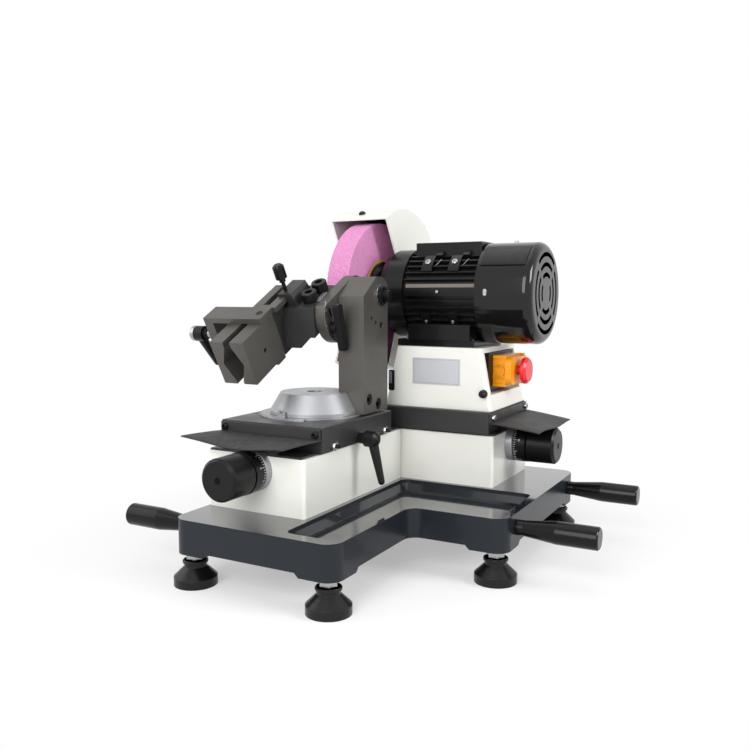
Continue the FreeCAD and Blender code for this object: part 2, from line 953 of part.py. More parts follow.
def lever_frame(x, y, z, hub, arm):
    """A frame whose local z runs along a lever's hub and local minus y along its arm."""
    frame = Frame(x, y, z)
    back = FreeCAD.Vector(*arm).negative()
    turn = FreeCAD.Rotation(FreeCAD.Vector(), back, FreeCAD.Vector(*hub), "ZYX")
    frame.axis = turn.Axis
    frame.angle = as_size(math.degrees(turn.Angle))
    return frame


def ratchet_lever(label, frame, stud, stand, lean):
    """A hub on local z with one tapered arm towards local minus y."""
    hub = turned(f"{label}_hub", frame, [
        (0, -stud), (s.lever_stud - 1, -stud), (s.lever_stud - 1, 0), (s.lever_hub_radius - 4, 0),
        (s.lever_hub_radius - 4, stand), (s.lever_hub_radius, stand),
        (s.lever_hub_radius, s.lever_hub_length - 4),
        (s.lever_hub_radius - 5, s.lever_hub_length), (0, s.lever_hub_length)]).body
    arm = doc.addObject("Part::Cone", f"{label}_arm")
    frame.hold(arm)
    turn = FreeCAD.Rotation(FreeCAD.Vector(1, 0, 0), 90 - lean)
    reach = FreeCAD.Vector(0, 0, (stand.value + s.lever_hub_length.value) / 2)
    spot = arm.Placement.Rotation.multVec(reach)
    arm.Placement.Rotation = arm.Placement.Rotation.multiply(turn)
    centre = (stand + s.lever_hub_length) / 2
    for name, part, way in zip("xyz", frame.base, (spot.x, spot.y, spot.z)):
        bind(arm, f"Placement.Base.{name}", part + centre * round(way / reach.z, 9))
    bind(arm, "Radius1", s.lever_arm_root)
    bind(arm, "Radius2", s.lever_arm_tip)
    bind(arm, "Height", s.lever_arm_length)
    ball = doc.addObject("Part::Sphere", f"{label}_tip")
    bind(ball, "Radius", s.lever_arm_tip)
    end = arm.Placement.Rotation.multVec(FreeCAD.Vector(0, 0, 1))
    for name, part, way, step in zip("xyz", frame.base, (spot.x, spot.y, spot.z), end):
        bind(ball, f"Placement.Base.{name}",
             part + centre * round(way / reach.z, 9) + s.lever_arm_length * round(step, 9))
    lever = doc.addObject("Part::MultiFuse", label)
    lever.Shapes = [hub, arm, ball]
    return node(lever, label)


# Lock lever on the right flank of the left slide, hanging down.
lock_x = left_axis + s.slide_width / 2
lock_y = s.left_slide_front + s.slide_length / 2
lock_z = way_top + s.lever_stud + 1
lock_frame = lever_frame(lock_x + s.body_gap, lock_y, lock_z, (1, 0, 0), (0, 0, -1))
ratchet_lever("left_lock_lever", lock_frame, s.lock_stud, s.lever_hub_length / 3, 14)

# Swivel cone on its scale ring, with the column bolted to its flank.
ring = turned("swivel_scale_ring", Frame(swivel_x, swivel_y, slide_top),
              rectangle(s.scale_ring_bore, s.scale_ring_radius, 0, s.scale_ring_height))
node(ring.body, "swivel_scale_ring")

cone = turned("swivel_cone", Frame(swivel_x, swivel_y, cone_bottom), [
    (s.stud_radius + s.fit_gap, 0), (s.cone_radius, 0), (s.cone_radius, s.cone_rim),
    (s.cone_top_radius, s.cone_height), (s.cap_head_radius, s.cone_height),
    (s.cap_head_radius, s.cone_height - s.cone_seat), (s.stud_radius + s.fit_gap, s.cone_height - s.cone_seat)])
notch = s.column_reach - s.column_width
cone.pocket("XY", rectangle(notch, s.cone_radius + 1, s.column_setback, s.cone_radius + 1),
            as_size(0), s.cone_height)
node(cone.body, "swivel_cone")

column_bolts = [(s.high_bolt_back, s.high_bolt_rise), (s.low_bolt_back, s.low_bolt_rise)]
column_pins = [(s.front_pin_back, s.front_pin_rise, s.pin_hole),
               (s.rear_pin_back, s.rear_pin_rise, s.pin_hole),
               (s.stop_hole_back, s.stop_hole_rise, s.stop_hole)]


def upright_column():
    piece = Piece("column", Frame(column_right, column_y, cone_bottom))
    top = s.column_height
    piece.pad("YZ", [(0, 0), (s.column_depth, 0), (s.column_depth, top),
                     (s.column_chamfer_run, top), (0, top - s.column_chamfer_drop)],
              -s.column_width, as_size(0))
    back = s.column_depth.value
    high = top.value

    def crown(edge):
        point = middle(edge)
        return straight(edge, (1, 0, 0)) and abs(point.y - back) < 1e-3 and abs(point.z - high) < 1e-3

    piece.dress("Fillet", s.column_round, crown)
    piece.hole("YZ", [(s.pivot_setback, s.pivot_height, s.bush_radius + s.fit_gap)],
               -s.column_width, as_size(0))
    piece.hole("YZ", [(y, z, s.stud_radius - 1 + s.fit_gap) for y, z in column_bolts],
               -s.column_width, as_size(0))
    piece.hole("YZ", [(y, z, s.cap_head_radius - 3) for y, z in column_bolts],
               -s.bolt_seat, as_size(0))
    piece.hole("YZ", column_pins, -s.bolt_seat, as_size(0))
    return piece.body


node(upright_column(), "column")

bolts = [cap_screw("swivel_bolt", Frame(swivel_x, swivel_y, cone_bottom + s.cone_height - s.cone_seat),
                   s.cap_head_radius - 1, s.nut_height + 1, s.stud_radius, s.cone_height)]
for number, (y, z) in enumerate(column_bolts, 1):
    seat = along("X", column_right - s.bolt_seat, column_y + y, cone_bottom + z)
    bolts.append(cap_screw(f"column_bolt_{number}", seat, s.cap_head_radius - 4, s.nut_height - 1,
                           s.stud_radius - 1, s.column_width - s.bolt_seat))
compound("head_bolts", bolts)

bush = turned("pivot_bush", along("X", column_left, pivot_y, pivot_z), rectangle(
    s.pivot_radius + s.running_gap, s.bush_radius, 0, s.column_width + s.bush_proud))
node(bush.body, "pivot_bush")

shaft_step = s.column_width + s.bush_proud + s.arm_thickness + s.body_gap * 2
head_step = shaft_step + s.pivot_head
pivot = turned("pivot_shaft", along("X", arm_left, pivot_y, pivot_z), [
    (0, 0), (s.pivot_radius, 0), (s.pivot_radius, shaft_step),
    (s.pivot_radius + 2, shaft_step), (s.pivot_radius + 2, head_step),
    (s.pivot_radius - 3, head_step), (s.pivot_radius - 3, head_step + s.pivot_end - 1),
    (s.pivot_radius - 4, head_step + s.pivot_end), (0, head_step + s.pivot_end)])
node(pivot.body, "pivot_shaft")


def swing_arm():
    """The swinging arm, drawn about its pivot: local y up the drill, local z across."""
    piece = Piece("swing_arm", head)
    top = s.arm_pivot_radius
    piece.boss("YZ", [(-s.arm_length, 0, s.arm_lug_radius)], arm_left, arm_right)
    piece.boss("YZ", [(0, 0, s.arm_pivot_radius)], arm_left, arm_right)
    piece.pad("YZ", [(-s.arm_length, -s.arm_lug_radius + 6), (0, -top), (0, top), (-s.arm_length, top)],
              arm_left, arm_right)
    wide = s.arm_lug_radius + 1
    piece.pocket("YZ", rectangle(-s.arm_length - wide, -s.arm_length + wide, top, wide),
                 arm_left, arm_right)
    piece.hole("YZ", [(0, 0, s.pivot_radius + s.fit_gap)], arm_left, arm_right)
    piece.hole("YZ", [(-s.arm_length, 0, s.spigot_radius + s.running_gap)],
               arm_left, arm_left + s.spigot_length)
    piece.hole("YZ", [(-s.lug_lever_setback, -s.lug_lever_drop, s.lever_stud + s.running_gap)],
               arm_right - 7, arm_right)
    return piece.body


node(swing_arm(), "swing_arm")


def lug_lever():
    y, z = head_point(-s.lug_lever_setback, -s.lug_lever_drop)
    piece = Piece("lug_lever", Frame(0, y, z, (1, 0, 0), s.lug_lever_turn))
    start = arm_right + s.lug_lever_standoff
    end = start + s.lug_lever_thickness
    half = s.lug_lever_length / 2
    wide = s.lug_lever_width / 2
    piece.boss("YZ", [(0, 0, s.lever_stud)], arm_right - 6, start + 1)
    piece.boss("YZ", [(0, 0, wide + 2)], arm_right + s.body_gap, start + 1)
    piece.pad("YZ", [(-wide, -half + 3), (-wide + 3, -half), (wide - 3, -half), (wide, -half + 3),
                     (wide, half - 3), (wide - 3, half), (-wide + 3, half), (-wide, half - 3)],
              start, end)
    return piece.body


node(lug_lever(), "lug_lever")

cap_x = block_right - s.cap_inset
cap_start = -s.arm_length - s.cap_lead
cap_spots = [cap_start, cap_start + s.cap_pitch]


def holder_block():
    """Cross block behind the clamp, with the carrier and the ear over the rail."""
    piece = Piece("holder_block", head)
    top = s.block_top
    low = -s.block_bottom
    piece.pad("YZ", [(-s.block_front_top, top), (-s.block_front_bottom, low),
                     (-s.block_back_bottom, low), (-s.block_back_top, top)], jaw_right, block_right)
    bevel = s.block_bevel
    piece.pocket("XZ", [(block_right - bevel - 11, low - 1), (block_right - 8, low + bevel - 1),
                        (block_right + 1, low + bevel - 1), (block_right + 1, low - 1)],
                 -s.block_front_bottom - 1, -s.block_back_top + 1)
    piece.pad("XZ", rectangle(jaw_left, jaw_right + 0.5, -s.jaw_bottom, s.jaw_top),
              -carrier_front, -s.carrier_back)
    ear_left = jaw_right + s.rail_reach - s.ear_overhang
    leg = jaw_right + s.rail_reach + s.body_gap
    under = s.jaw_top + s.slide_gap * 2 + s.rail_thickness + s.body_gap
    piece.pad("XZ", [(ear_left, under), (leg, under), (leg, top - 1),
                     (ear_left + s.ear_width, top - 1), (ear_left + s.ear_width - s.ear_slope, s.ear_top),
                     (ear_left, s.ear_top)], -s.ear_setback, -s.ear_setback + s.ear_length)
    piece.boss("YZ", [(-s.arm_length, 0, s.spigot_radius)], block_right - 1,
               block_right + s.body_gap + s.spigot_length - 1)
    piece.hole("XY", [(cap_x, spot, s.cap_shank + s.fit_gap) for spot in cap_spots], as_size(0), top)
    piece.hole("XY", [(thumb_x, -s.thumb_setback, s.thumb_stem + s.running_gap)], under, s.ear_top)
    return piece.body


thumb_x = jaw_right + s.rail_reach - s.ear_overhang / 2
node(holder_block(), "holder_block")

caps = []
for number, spot in enumerate(cap_spots, 1):
    y, z = head_point(spot, s.block_top)
    seat = Frame(cap_x, y, z, (1, 0, 0), s.head_tilt)
    caps.append(cap_screw(f"cap_screw_{number}", seat, s.cap_head_radius, s.cap_head_height,
                          s.cap_shank, s.block_top - 2))
compound("holder_cap_screws", caps)

rail_low = s.jaw_top + s.slide_gap * 2
rail_top = rail_low + s.rail_thickness
y, z = head_point(-s.thumb_setback, as_size(0))
thumb = turned("thumb_screw", Frame(thumb_x, y, z, (1, 0, 0), s.head_tilt), [
    (0, rail_top + s.slide_gap), (s.thumb_stem, rail_top + s.slide_gap),
    (s.thumb_stem, s.thumb_knob_base - 6), (s.thumb_neck, s.thumb_knob_base - 4),
    (s.thumb_neck, s.thumb_knob_base), (s.thumb_radius, s.thumb_knob_base + 2),
    (s.thumb_radius, s.thumb_top - 3), (s.thumb_radius - 3, s.thumb_top), (0, s.thumb_top)])
node(thumb.body, "thumb_screw")


def jaw(label, inner, outward):
    """A V-grooved jaw; the groove opens towards the other jaw."""
    piece = Piece(label, head)
    outer = inner + outward * s.jaw_thickness
    apex = inner + outward * s.vee_depth
    piece.pad("XZ", [(outer, -s.jaw_bottom), (outer, s.jaw_top), (inner, s.jaw_top),
                     (inner, s.vee_half), (apex, 0), (inner, -s.vee_half), (inner, -s.jaw_bottom)],
              jaw_front, jaw_back)
    return piece


fixed = jaw("fixed_jaw", jaw_left, 1)
fixed.hole("YZ", [(jaw_front + s.jaw_length / 2, 0, s.jaw_hole)], jaw_right - 8, jaw_right)
node(fixed.body, "fixed_jaw")
moving = jaw("moving_jaw", moving_right, -1)
moving.hole("YZ", [(clamp_u, s.clamp_screw_height, s.clamp_tip_radius + s.running_gap)],
            moving_left, moving_left + s.clamp_tip_length)
node(moving.body, "moving_jaw")


def jaw_yoke():
    piece = Piece("jaw_yoke", head)
    left = jaw_right - s.yoke_reach
    inner = left + s.yoke_leg
    low = s.jaw_top + s.slide_gap
    high = low + s.yoke_thickness
    start = jaw_back - s.yoke_setback
    piece.pad("XZ", [(left, -s.yoke_drop), (inner, -s.yoke_drop), (inner, low), (jaw_right, low),
                     (jaw_right, high), (left, high)], start, start + s.yoke_length)
    piece.hole("YZ", [(clamp_u, s.clamp_screw_height, s.clamp_screw_radius + s.running_gap)], left, inner)
    return piece.body


node(jaw_yoke(), "jaw_yoke")


def guide_rail():
    piece = Piece("guide_rail", head)
    right = jaw_right + s.rail_reach
    left = right - s.rail_width
    start = jaw_back - s.yoke_setback + s.yoke_length
    piece.pad("XY", rectangle(left, right, start, start + s.rail_length), rail_low, rail_top)
    centre = (left + right) / 2
    half = s.rail_slot / 2
    piece.pocket("XY", rectangle(centre - half, centre + half, start + 8, start + s.rail_length),
                 rail_low, rail_top)
    return piece.body


node(guide_rail(), "guide_rail")

y, z = head_point(clamp_u, s.clamp_screw_height)
screw_out = jaw_right - s.yoke_reach - s.clamp_screw_proud
tip = moving_left - screw_out
clamp_screw = turned("clamp_screw", along("X", screw_out, y, z), [
    (0, 0), (s.clamp_screw_radius, 0), (s.clamp_screw_radius, tip - s.slide_gap),
    (s.clamp_tip_radius, tip - s.slide_gap), (s.clamp_tip_radius, tip + s.clamp_tip_length - 0.5),
    (0, tip + s.clamp_tip_length - 0.5)])
node(clamp_screw.body, "clamp_screw")
clamp_frame = lever_frame(screw_out - s.slide_gap, y, z, (-1, 0, 0), (0, 0.86, -1))
ratchet_lever("clamp_lever", clamp_frame, s.slide_gap, s.lever_hub_length / 5, 0)

# Motor on its stand; the rotor axis runs along x.
axis_frame = along("X", 0, right_axis, motor_z)
motor_frame_spot = Frame(0, right_axis, motor_z)


def motor_frame():
    """Finned frame with a closed fan end that carries the cover, feet and a terminal pad on top."""
    piece = Piece("motor_frame", motor_frame_spot)
    left = -s.motor_left
    right = motor_right
    piece.boss("YZ", [(0, 0, s.motor_core)], left, right)
    cover_seat = s.cover_radius - s.cover_wall - s.slide_gap
    piece.boss("YZ", [(0, 0, cover_seat)], right - s.cover_wall, right)
    half = s.fin_thickness / 2
    fin = piece.pad("YZ", rectangle(s.motor_core - 2, s.fin_radius, -half, half), left + 4, right - 4)
    piece.pattern(fin, "X_Axis", s.fin_count)
    width = s.top_pad_width / 2
    piece.pad("XY", rectangle(s.top_pad_start, s.top_pad_start + s.top_pad_length, -width, width),
              s.motor_core - 25, s.top_pad_height)
    low = plate_top - motor_z
    for side in (-1, 1):
        near = side * s.motor_foot_spread / 2
        across = sorted((near, near + side * s.motor_foot_width), key=lambda item: item.value)
        piece.pad("XY", rectangle(left + s.motor_foot_end, right - s.motor_foot_end, *across), low,
                  -s.motor_foot_top)
    piece.hole("YZ", [(0, 0, s.motor_bore)], left, right - s.motor_end_wall)
    piece.hole("YZ", [(0, 0, s.bearing_radius + s.fit_gap)], right - s.motor_end_wall, right)
    return piece.body


node(motor_frame(), "motor_frame")

shield = turned("motor_end_shield", along("-X", -s.motor_left, right_axis, motor_z), [
    (s.bearing_radius + s.fit_gap, 0), (s.shield_radius, 0),
    (s.shield_radius, s.shield_length - s.shield_edge),
    (s.shield_radius - s.shield_edge / 2, s.shield_length),
    (s.shaft_radius + 1, s.shield_length), (s.shaft_radius + 1, s.bearing_width + 2),
    (s.bearing_radius + s.fit_gap, s.bearing_width + 2)])
node(shield.body, "motor_end_shield")

bearings = []
for number, start in enumerate((-s.motor_left - s.bearing_width - 1, motor_right - s.bearing_width - 1), 1):
    bearing = turned(f"bearing_{number}", along("X", start, right_axis, motor_z),
                     rectangle(s.shaft_radius + s.running_gap, s.bearing_radius, 0, s.bearing_width))
    bearings.append(bearing.body)
compound("motor_bearings", bearings)

core_start = -s.motor_left + s.core_end
core_frame = along("X", core_start, right_axis, motor_z)
stator = turned("stator_core", core_frame, rectangle(
    s.stator_bore, s.motor_bore - s.fit_gap, 0, s.core_length))
node(stator.body, "stator_core")
rotor = turned("rotor_core", core_frame, rectangle(
    s.shaft_radius + s.fit_gap, s.rotor_radius, 0, s.core_length))
node(rotor.body, "rotor_core")

nut_left = wheel_left - s.wheel_flange_width - s.spindle_nut_height
shaft_left = nut_left - s.spindle_end
fan_start = motor_right + s.fan_gap
motor_shaft = cylinder("motor_shaft", along("X", shaft_left, right_axis, motor_z),
                       s.shaft_radius, fan_start + s.fan_width - shaft_left)
node(motor_shaft, "motor_shaft")

bore = s.shaft_radius + s.fit_gap
disc = s.wheel_flange_radius
inner_flange = turned("inner_flange", along("-X", wheel_right, right_axis, motor_z), [
    (bore, -s.wheel_flange_width), (disc - 6, -s.wheel_flange_width), (disc, -s.wheel_flange_width + 6),
    (disc, 0), (s.wheel_bore - s.fit_gap, 0), (s.wheel_bore - s.fit_gap, s.wheel_width),
    (bore, s.wheel_width)])
outer_flange = turned("outer_flange", along("-X", wheel_left, right_axis, motor_z), [
    (bore, 0), (disc, 0), (disc, s.wheel_flange_width - 6), (disc - 6, s.wheel_flange_width),
    (bore, s.wheel_flange_width)])
compound("wheel_flanges", [inner_flange.body, outer_flange.body])

wheel = turned("grinding_wheel", along("-X", wheel_right, right_axis, motor_z), [
    (s.wheel_bore, 0), (s.wheel_radius - 1, 0), (s.wheel_radius, 1),
    (s.wheel_radius, s.wheel_width - 1), (s.wheel_radius - 1, s.wheel_width),
    (s.wheel_bore, s.wheel_width)])
node(wheel.body, "grinding_wheel")

nut_frame = along("X", nut_left, right_axis, motor_z)
spindle_hex = prism("spindle_hex", nut_frame, s.spindle_nut_flats, s.spindle_nut_height)
spindle_hole = cylinder("spindle_hole", nut_frame, bore, s.spindle_nut_height)
node(cut("spindle_nut", spindle_hex, spindle_hole), "spindle_nut")


def cooling_fan():
    piece = Piece("cooling_fan", motor_frame_spot)
    end = fan_start + s.fan_width
    piece.boss("YZ", [(0, 0, s.fan_hub)], fan_start, end)
    half = s.fan_blade_thickness / 2
    blade = piece.pad("YZ", rectangle(s.fan_hub - 2, s.fan_radius, -half, half), fan_start, end)
    piece.pattern(blade, "X_Axis", s.fan_blades)
    piece.hole("YZ", [(0, 0, bore)], fan_start, end)
    return piece.body


node(cooling_fan(), "cooling_fan")


def grille_slots(label, wall, deep, offset, *wedges):
    """Rings of slots that are kept out of the wedges between two diagonal spokes."""
    slots = []
    for index in range(int(s.grille_rings.value)):
        centre = s.grille_first + offset + index * s.grille_pitch
        wide = cylinder(f"{label}_outer_{index}", wall, centre + s.grille_slot / 2, deep)
        thin = cylinder(f"{label}_inner_{index}", wall, centre - s.grille_slot / 2, deep)
        slots.append(cut(f"{label}_ring_{index}", wide, thin))
    rings = doc.addObject("Part::Compound", f"{label}_rings")
    rings.Links = slots
    blank = Piece(f"{label}_wedges", wall)
    for wedge in wedges:
        blank.pad("XY", wedge, as_size(0), deep)
    return cut(f"{label}_slots", rings, blank.body)


def fan_cover():
    """Fan cover whose end wall has staggered slots in four sectors."""
    start = motor_right - s.cover_wall
    frame = along("X", start, right_axis, motor_z)
    outer = s.cover_radius
    inner = outer - s.cover_wall
    length = s.cover_length
    shell = turned("cover_shell", frame, [
        (inner, 0), (outer, 0), (outer, length), (0, length), (0, length - s.cover_wall),
        (inner, length - s.cover_wall)])
    shell.dress("Fillet", s.cover_edge, round_edge(outer, length))
    shell.dress("Fillet", s.cover_edge - s.cover_wall, round_edge(inner, length - s.cover_wall))
    wall = along("X", start + length - s.cover_wall - 1, right_axis, motor_z)
    deep = s.cover_wall + 2
    half = s.grille_spoke / math.sqrt(2)
    far = outer + half
    openings = doc.addObject("Part::Compound", "cover_openings")
    openings.Links = [
        grille_slots("upright", wall, deep, as_size(0), [(-half, 0), (outer, -far), (outer, far)],
                     [(half, 0), (-outer, far), (-outer, -far)]),
        grille_slots("sideways", wall, deep, s.grille_pitch / 2, [(0, -half), (far, outer), (-far, outer)],
                     [(0, half), (-far, -outer), (far, -outer)])]
    return cut("fan_cover", shell.body, openings)


node(fan_cover(), "fan_cover")


def wheel_guard():
    """Sheet drum round the back of the wheel with a wedge-shaped mouth in front."""
    piece = Piece("wheel_guard", Frame(0, guard_y, guard_z))
    right = shield_left
    left = right - s.guard_width
    piece.boss("YZ", [(0, 0, s.guard_radius)], left, right)
    piece.hole("YZ", [(0, 0, s.guard_radius - s.guard_sheet)], left + s.guard_side, right - s.guard_side)
    y = -s.mouth_back
    z = s.mouth_rise
    upper = (y - s.mouth_upper_run * 1.5, z + s.mouth_upper_rise * 1.5)
    lower = (y - s.mouth_lower_run * 1.5, z - s.mouth_lower_drop * 1.5)
    far = -s.guard_radius * 1.5
    piece.pocket("YZ", [(y, z), upper, (far, upper[1]), (far, lower[1]), lower], left, right)
    return piece.body


node(wheel_guard(), "wheel_guard")


def motor_stand():
    piece = Piece("motor_stand", layout)
    back = stand_front + s.stand_depth
    left = -s.stand_left
    right = stand_right
    lean_left = s.stand_lean_left
    lean_right = s.stand_lean_right
    piece.pad("XZ", [(left, slide_top), (right, slide_top), (right - lean_right, stand_top),
                     (left + lean_left, stand_top)], stand_front, back)
    wall = s.stand_wall
    inner_right = recess_floor - wall
    piece.pocket("XZ", [(left + wall + 2, slide_top), (inner_right, slide_top),
                        (inner_right, stand_top - wall), (left + lean_left + wall, stand_top - wall)],
                 stand_front + wall, back - wall)
    start = stand_front + s.recess_front
    low = slide_top + s.recess_low
    piece.pocket("YZ", rectangle(start, start + s.recess_width, low, low + recess_height),
                 recess_floor, right + 1)
    front = stand_front.value
    rear = back.value

    def corner(edge):
        point = middle(edge)
        at_end = abs(point.y - front) < 1e-3 or abs(point.y - rear) < 1e-3
        leaning = isinstance(edge.Curve, Part.Line) and abs(edge.Curve.Direction.z) > 0.9
        outside = point.x < (left + lean_left).value or point.x > (right - lean_right).value
        return at_end and leaning and outside

    piece.dress("Fillet", s.ped_edge, corner)
    return piece.body


node(motor_stand(), "motor_stand")

plate = Piece("motor_plate", layout)
plate_right = motor_right - s.cover_wall - s.plate_gap
plate.pad("XY", rectangle(-s.plate_left, plate_right, right_axis - s.plate_width / 2,
                          right_axis + s.plate_width / 2), stand_top, plate_top)
node(plate.body, "motor_plate")

# Safety switch in the recess of the stand.
backbox = Piece("switch_back_box", layout)
box_y = stand_front + s.recess_front + s.backbox_front
box_z = slide_top + s.recess_low + s.backbox_low
backbox.pad("YZ", rectangle(box_y, box_y + s.backbox_width, box_z, box_z + backbox_height),
            recess_floor, recess_floor + s.backbox_depth)
node(backbox.body, "switch_back_box")

hinge_y = switch_y + s.switch_width + s.hinge_knuckle
hinge_x = flap_x + s.hinge_knuckle
start_y = switch_y + s.start_setback
stop_y = switch_y + s.stop_setback
button_z = switch_z + switch_height / 2


def switch_housing():
    piece = Piece("switch_housing", layout)
    low = switch_z
    high = switch_z + switch_height
    piece.pad("YZ", rectangle(switch_y, switch_y + s.switch_width, low, high),
              recess_floor + s.backbox_depth, switch_x)
    lug_back = hinge_y + s.hinge_knuckle
    for start, end in ((low, low + s.hinge_lug), (high - s.hinge_lug, high)):
        piece.pad("XY", rectangle(switch_x - 8, hinge_x + s.hinge_knuckle,
                                  switch_y + s.switch_width - 1, lug_back), start, end)
    piece.boss("XY", [(hinge_x, hinge_y, s.hinge_pin)], low, high)
    piece.hole("YZ", [(start_y, button_z, s.start_radius + s.body_gap)],
               switch_x - s.start_height - s.start_travel - 1, switch_x)
    return piece.body


node(switch_housing(), "switch_housing")


def switch_flap():
    """Hinged cover over the push buttons, with a lifting tab in front."""
    piece = Piece("switch_flap", layout)
    low = switch_z + s.hinge_lug + s.body_gap
    high = switch_z + switch_height - s.hinge_lug - s.body_gap
    end = flap_x + s.flap_cover
    piece.pad("YZ", rectangle(switch_y - s.flap_tab, hinge_y, low, high), flap_x, end)
    piece.boss("XY", [(hinge_x, hinge_y, s.hinge_knuckle)], low, high)
    piece.hole("XY", [(hinge_x, hinge_y, s.hinge_pin + s.running_gap)], low, high)
    piece.hole("YZ", [(stop_y, button_z, s.stop_stem + s.running_gap)], flap_x, end)
    front = (switch_y - s.flap_tab).value

    def tab(edge):
        return straight(edge, (1, 0, 0)) and abs(middle(edge).y - front) < 1e-3

    piece.dress("Fillet", s.switch_edge * 3, tab)
    return piece.body


node(switch_flap(), "switch_flap")

stop_base = flap_x + s.flap_cover + s.stop_proud
stem_start = flap_x + s.switch_edge + 1
stem = stop_base - stem_start
stop = turned("stop_button", along("X", stem_start, stop_y, button_z), [
    (0, 0), (s.stop_stem, 0), (s.stop_stem, stem), (s.stop_radius - 1, stem), (s.stop_radius, stem + 2),
    (s.stop_radius, stem + s.stop_height - 4), (s.stop_radius - 4, stem + s.stop_height),
    (0, stem + s.stop_height)])
node(stop.body, "stop_button")
start_button = cylinder("start_button", along("X", switch_x - s.start_height - 0.5, start_y, button_z),
                        s.start_radius, s.start_height)
node(start_button, "start_button")

gland_x = stand_right - s.gland_inset
gland = turned("cable_gland", along("-Y", gland_x, stand_front, slide_top + s.gland_height), [
    (0, 0), (s.gland_radius, 0), (s.gland_radius, 5), (s.gland_radius - 1, 6),
    (s.gland_radius - 1, s.gland_length - 3), (s.gland_radius - 3, s.gland_length), (0, s.gland_length)])
node(gland.body, "cable_gland")

doc.recompute()
for item in doc.Objects:
    if "Invalid" in item.State or "Error" in item.State:
        raise RuntimeError(f"{item.Label} did not build")
for feature in cuts:
    if feature.Shape.Volume > feature.BaseFeature.Shape.Volume - 1e-3:
        raise RuntimeError(f"{feature.Label} cuts nothing")
os.makedirs("parts", exist_ok=True)
for item in nodes:
    if item.Shape.isNull() or not item.Shape.isValid():
        raise RuntimeError(f"{item.Label} has no valid shape")
    item.Shape.exportStep(f"parts/{item.Label}.step")
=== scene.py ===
"""Dresses the drill bit sharpener: finishes, rubber flaps, dial marks, small fixings and studio."""

import json
import math

import bmesh
import bpy
from bpy.props import FloatProperty, FloatVectorProperty, IntProperty, PointerProperty
from mathutils import Matrix, Vector


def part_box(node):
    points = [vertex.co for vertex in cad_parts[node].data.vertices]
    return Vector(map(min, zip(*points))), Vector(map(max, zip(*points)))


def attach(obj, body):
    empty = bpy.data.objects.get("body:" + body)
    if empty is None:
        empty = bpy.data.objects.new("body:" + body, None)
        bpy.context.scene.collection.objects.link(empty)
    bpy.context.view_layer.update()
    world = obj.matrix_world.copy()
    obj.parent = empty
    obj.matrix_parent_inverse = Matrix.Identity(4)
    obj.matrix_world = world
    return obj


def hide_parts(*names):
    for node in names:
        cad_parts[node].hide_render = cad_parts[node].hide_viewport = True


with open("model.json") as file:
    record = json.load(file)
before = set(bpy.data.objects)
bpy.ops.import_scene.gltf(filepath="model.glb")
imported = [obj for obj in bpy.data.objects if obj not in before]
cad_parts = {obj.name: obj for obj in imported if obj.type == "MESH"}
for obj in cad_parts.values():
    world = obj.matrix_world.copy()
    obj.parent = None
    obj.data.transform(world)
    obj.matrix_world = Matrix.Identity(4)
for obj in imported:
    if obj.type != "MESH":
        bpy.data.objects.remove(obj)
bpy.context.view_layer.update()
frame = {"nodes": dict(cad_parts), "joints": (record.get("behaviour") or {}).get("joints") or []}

bl_info = {
    "name": "Drill Bit Sharpener Dressing",
    "version": (1, 0, 0),
    "blender": (4, 5, 0),
    "location": "View3D > Sidebar > Sharpener",
    "description": "Adds the finishes and small fittings of a bench drill bit sharpener",
    "category": "Object",
}

MM = 0.001
LEFT, RIGHT = Vector((-1, 0, 0)), Vector((1, 0, 0))
FRONT, BACK = Vector((0, -1, 0)), Vector((0, 1, 0))
DOWN, UP = Vector((0, 0, -1)), Vector((0, 0, 1))
# The way that each slide faces, and the way across it.
SIDES = {"left": (FRONT, RIGHT), "right": (RIGHT, BACK)}
SHARP_ANGLE = math.radians(35)

PED_LOW, PED_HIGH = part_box("left_pedestal")
PIVOT = sum(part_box("pivot_bush"), Vector()) / 2
JOINTS = {joint["name"]: joint for joint in frame["joints"]}
# The head is tilted: its axes run up the drill and across it.
TILT = math.atan2(-JOINTS["thumb_turn"]["axis"][1], JOINTS["thumb_turn"]["axis"][2])
HEAD_AHEAD = Vector((0, math.cos(TILT), math.sin(TILT)))
HEAD_UP = Vector((0, -math.sin(TILT), math.cos(TILT)))


def mm(*values):
    """Millimetres as metres."""
    return tuple(value * MM for value in values)


def at(x, y, z):
    """A point in millimetres from the left pedestal's front right corner, with z from the floor."""
    return Vector((PED_HIGH.x + x * MM, PED_LOW.y + y * MM, z * MM))


def on_head(x, u, v):
    """A point of the tilted head: u runs up the drill and v across it, from the pivot."""
    point = PIVOT + (HEAD_AHEAD * u + HEAD_UP * v) * MM
    point.x = at(x, 0, 0).x
    return point


def on_stand(x, z, proud):
    """A point that stands proud of the motor stand's front, in millimetres."""
    point = at(x, 0, z)
    point.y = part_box("motor_stand")[0].y - proud * MM
    return point


def end_of(name, end):
    """The x of a node's left end (0) or right end (1), in the millimetres of at()."""
    return (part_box(name)[end].x - PED_HIGH.x) / MM


def face_of(name, out):
    """The middle of the side of a node's box that looks along a direction."""
    low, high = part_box(name)
    return (low + high) / 2 + out * abs((high - low).dot(out)) / 2


def joint_place(name):
    return Vector(JOINTS[name]["pos_m"])


def facing(point, direction, roll=0.0):
    """A matrix at a point whose local z looks along a direction."""
    turn = direction.to_track_quat("Z", "Y").to_matrix().to_4x4()
    return Matrix.Translation(point) @ turn @ Matrix.Rotation(roll, 4, "Z")


def outward(centre, degrees, reach, rise=0.0):
    """A level matrix at a reach from a centre, whose local x looks away from it."""
    turn = Matrix.Rotation(math.radians(degrees), 4, "Z")
    return Matrix.Translation(centre) @ turn @ Matrix.Translation((reach, 0, rise))


def polar(reach, angle, height):
    """A local point round the z axis."""
    return (reach * math.cos(angle), reach * math.sin(angle), height)


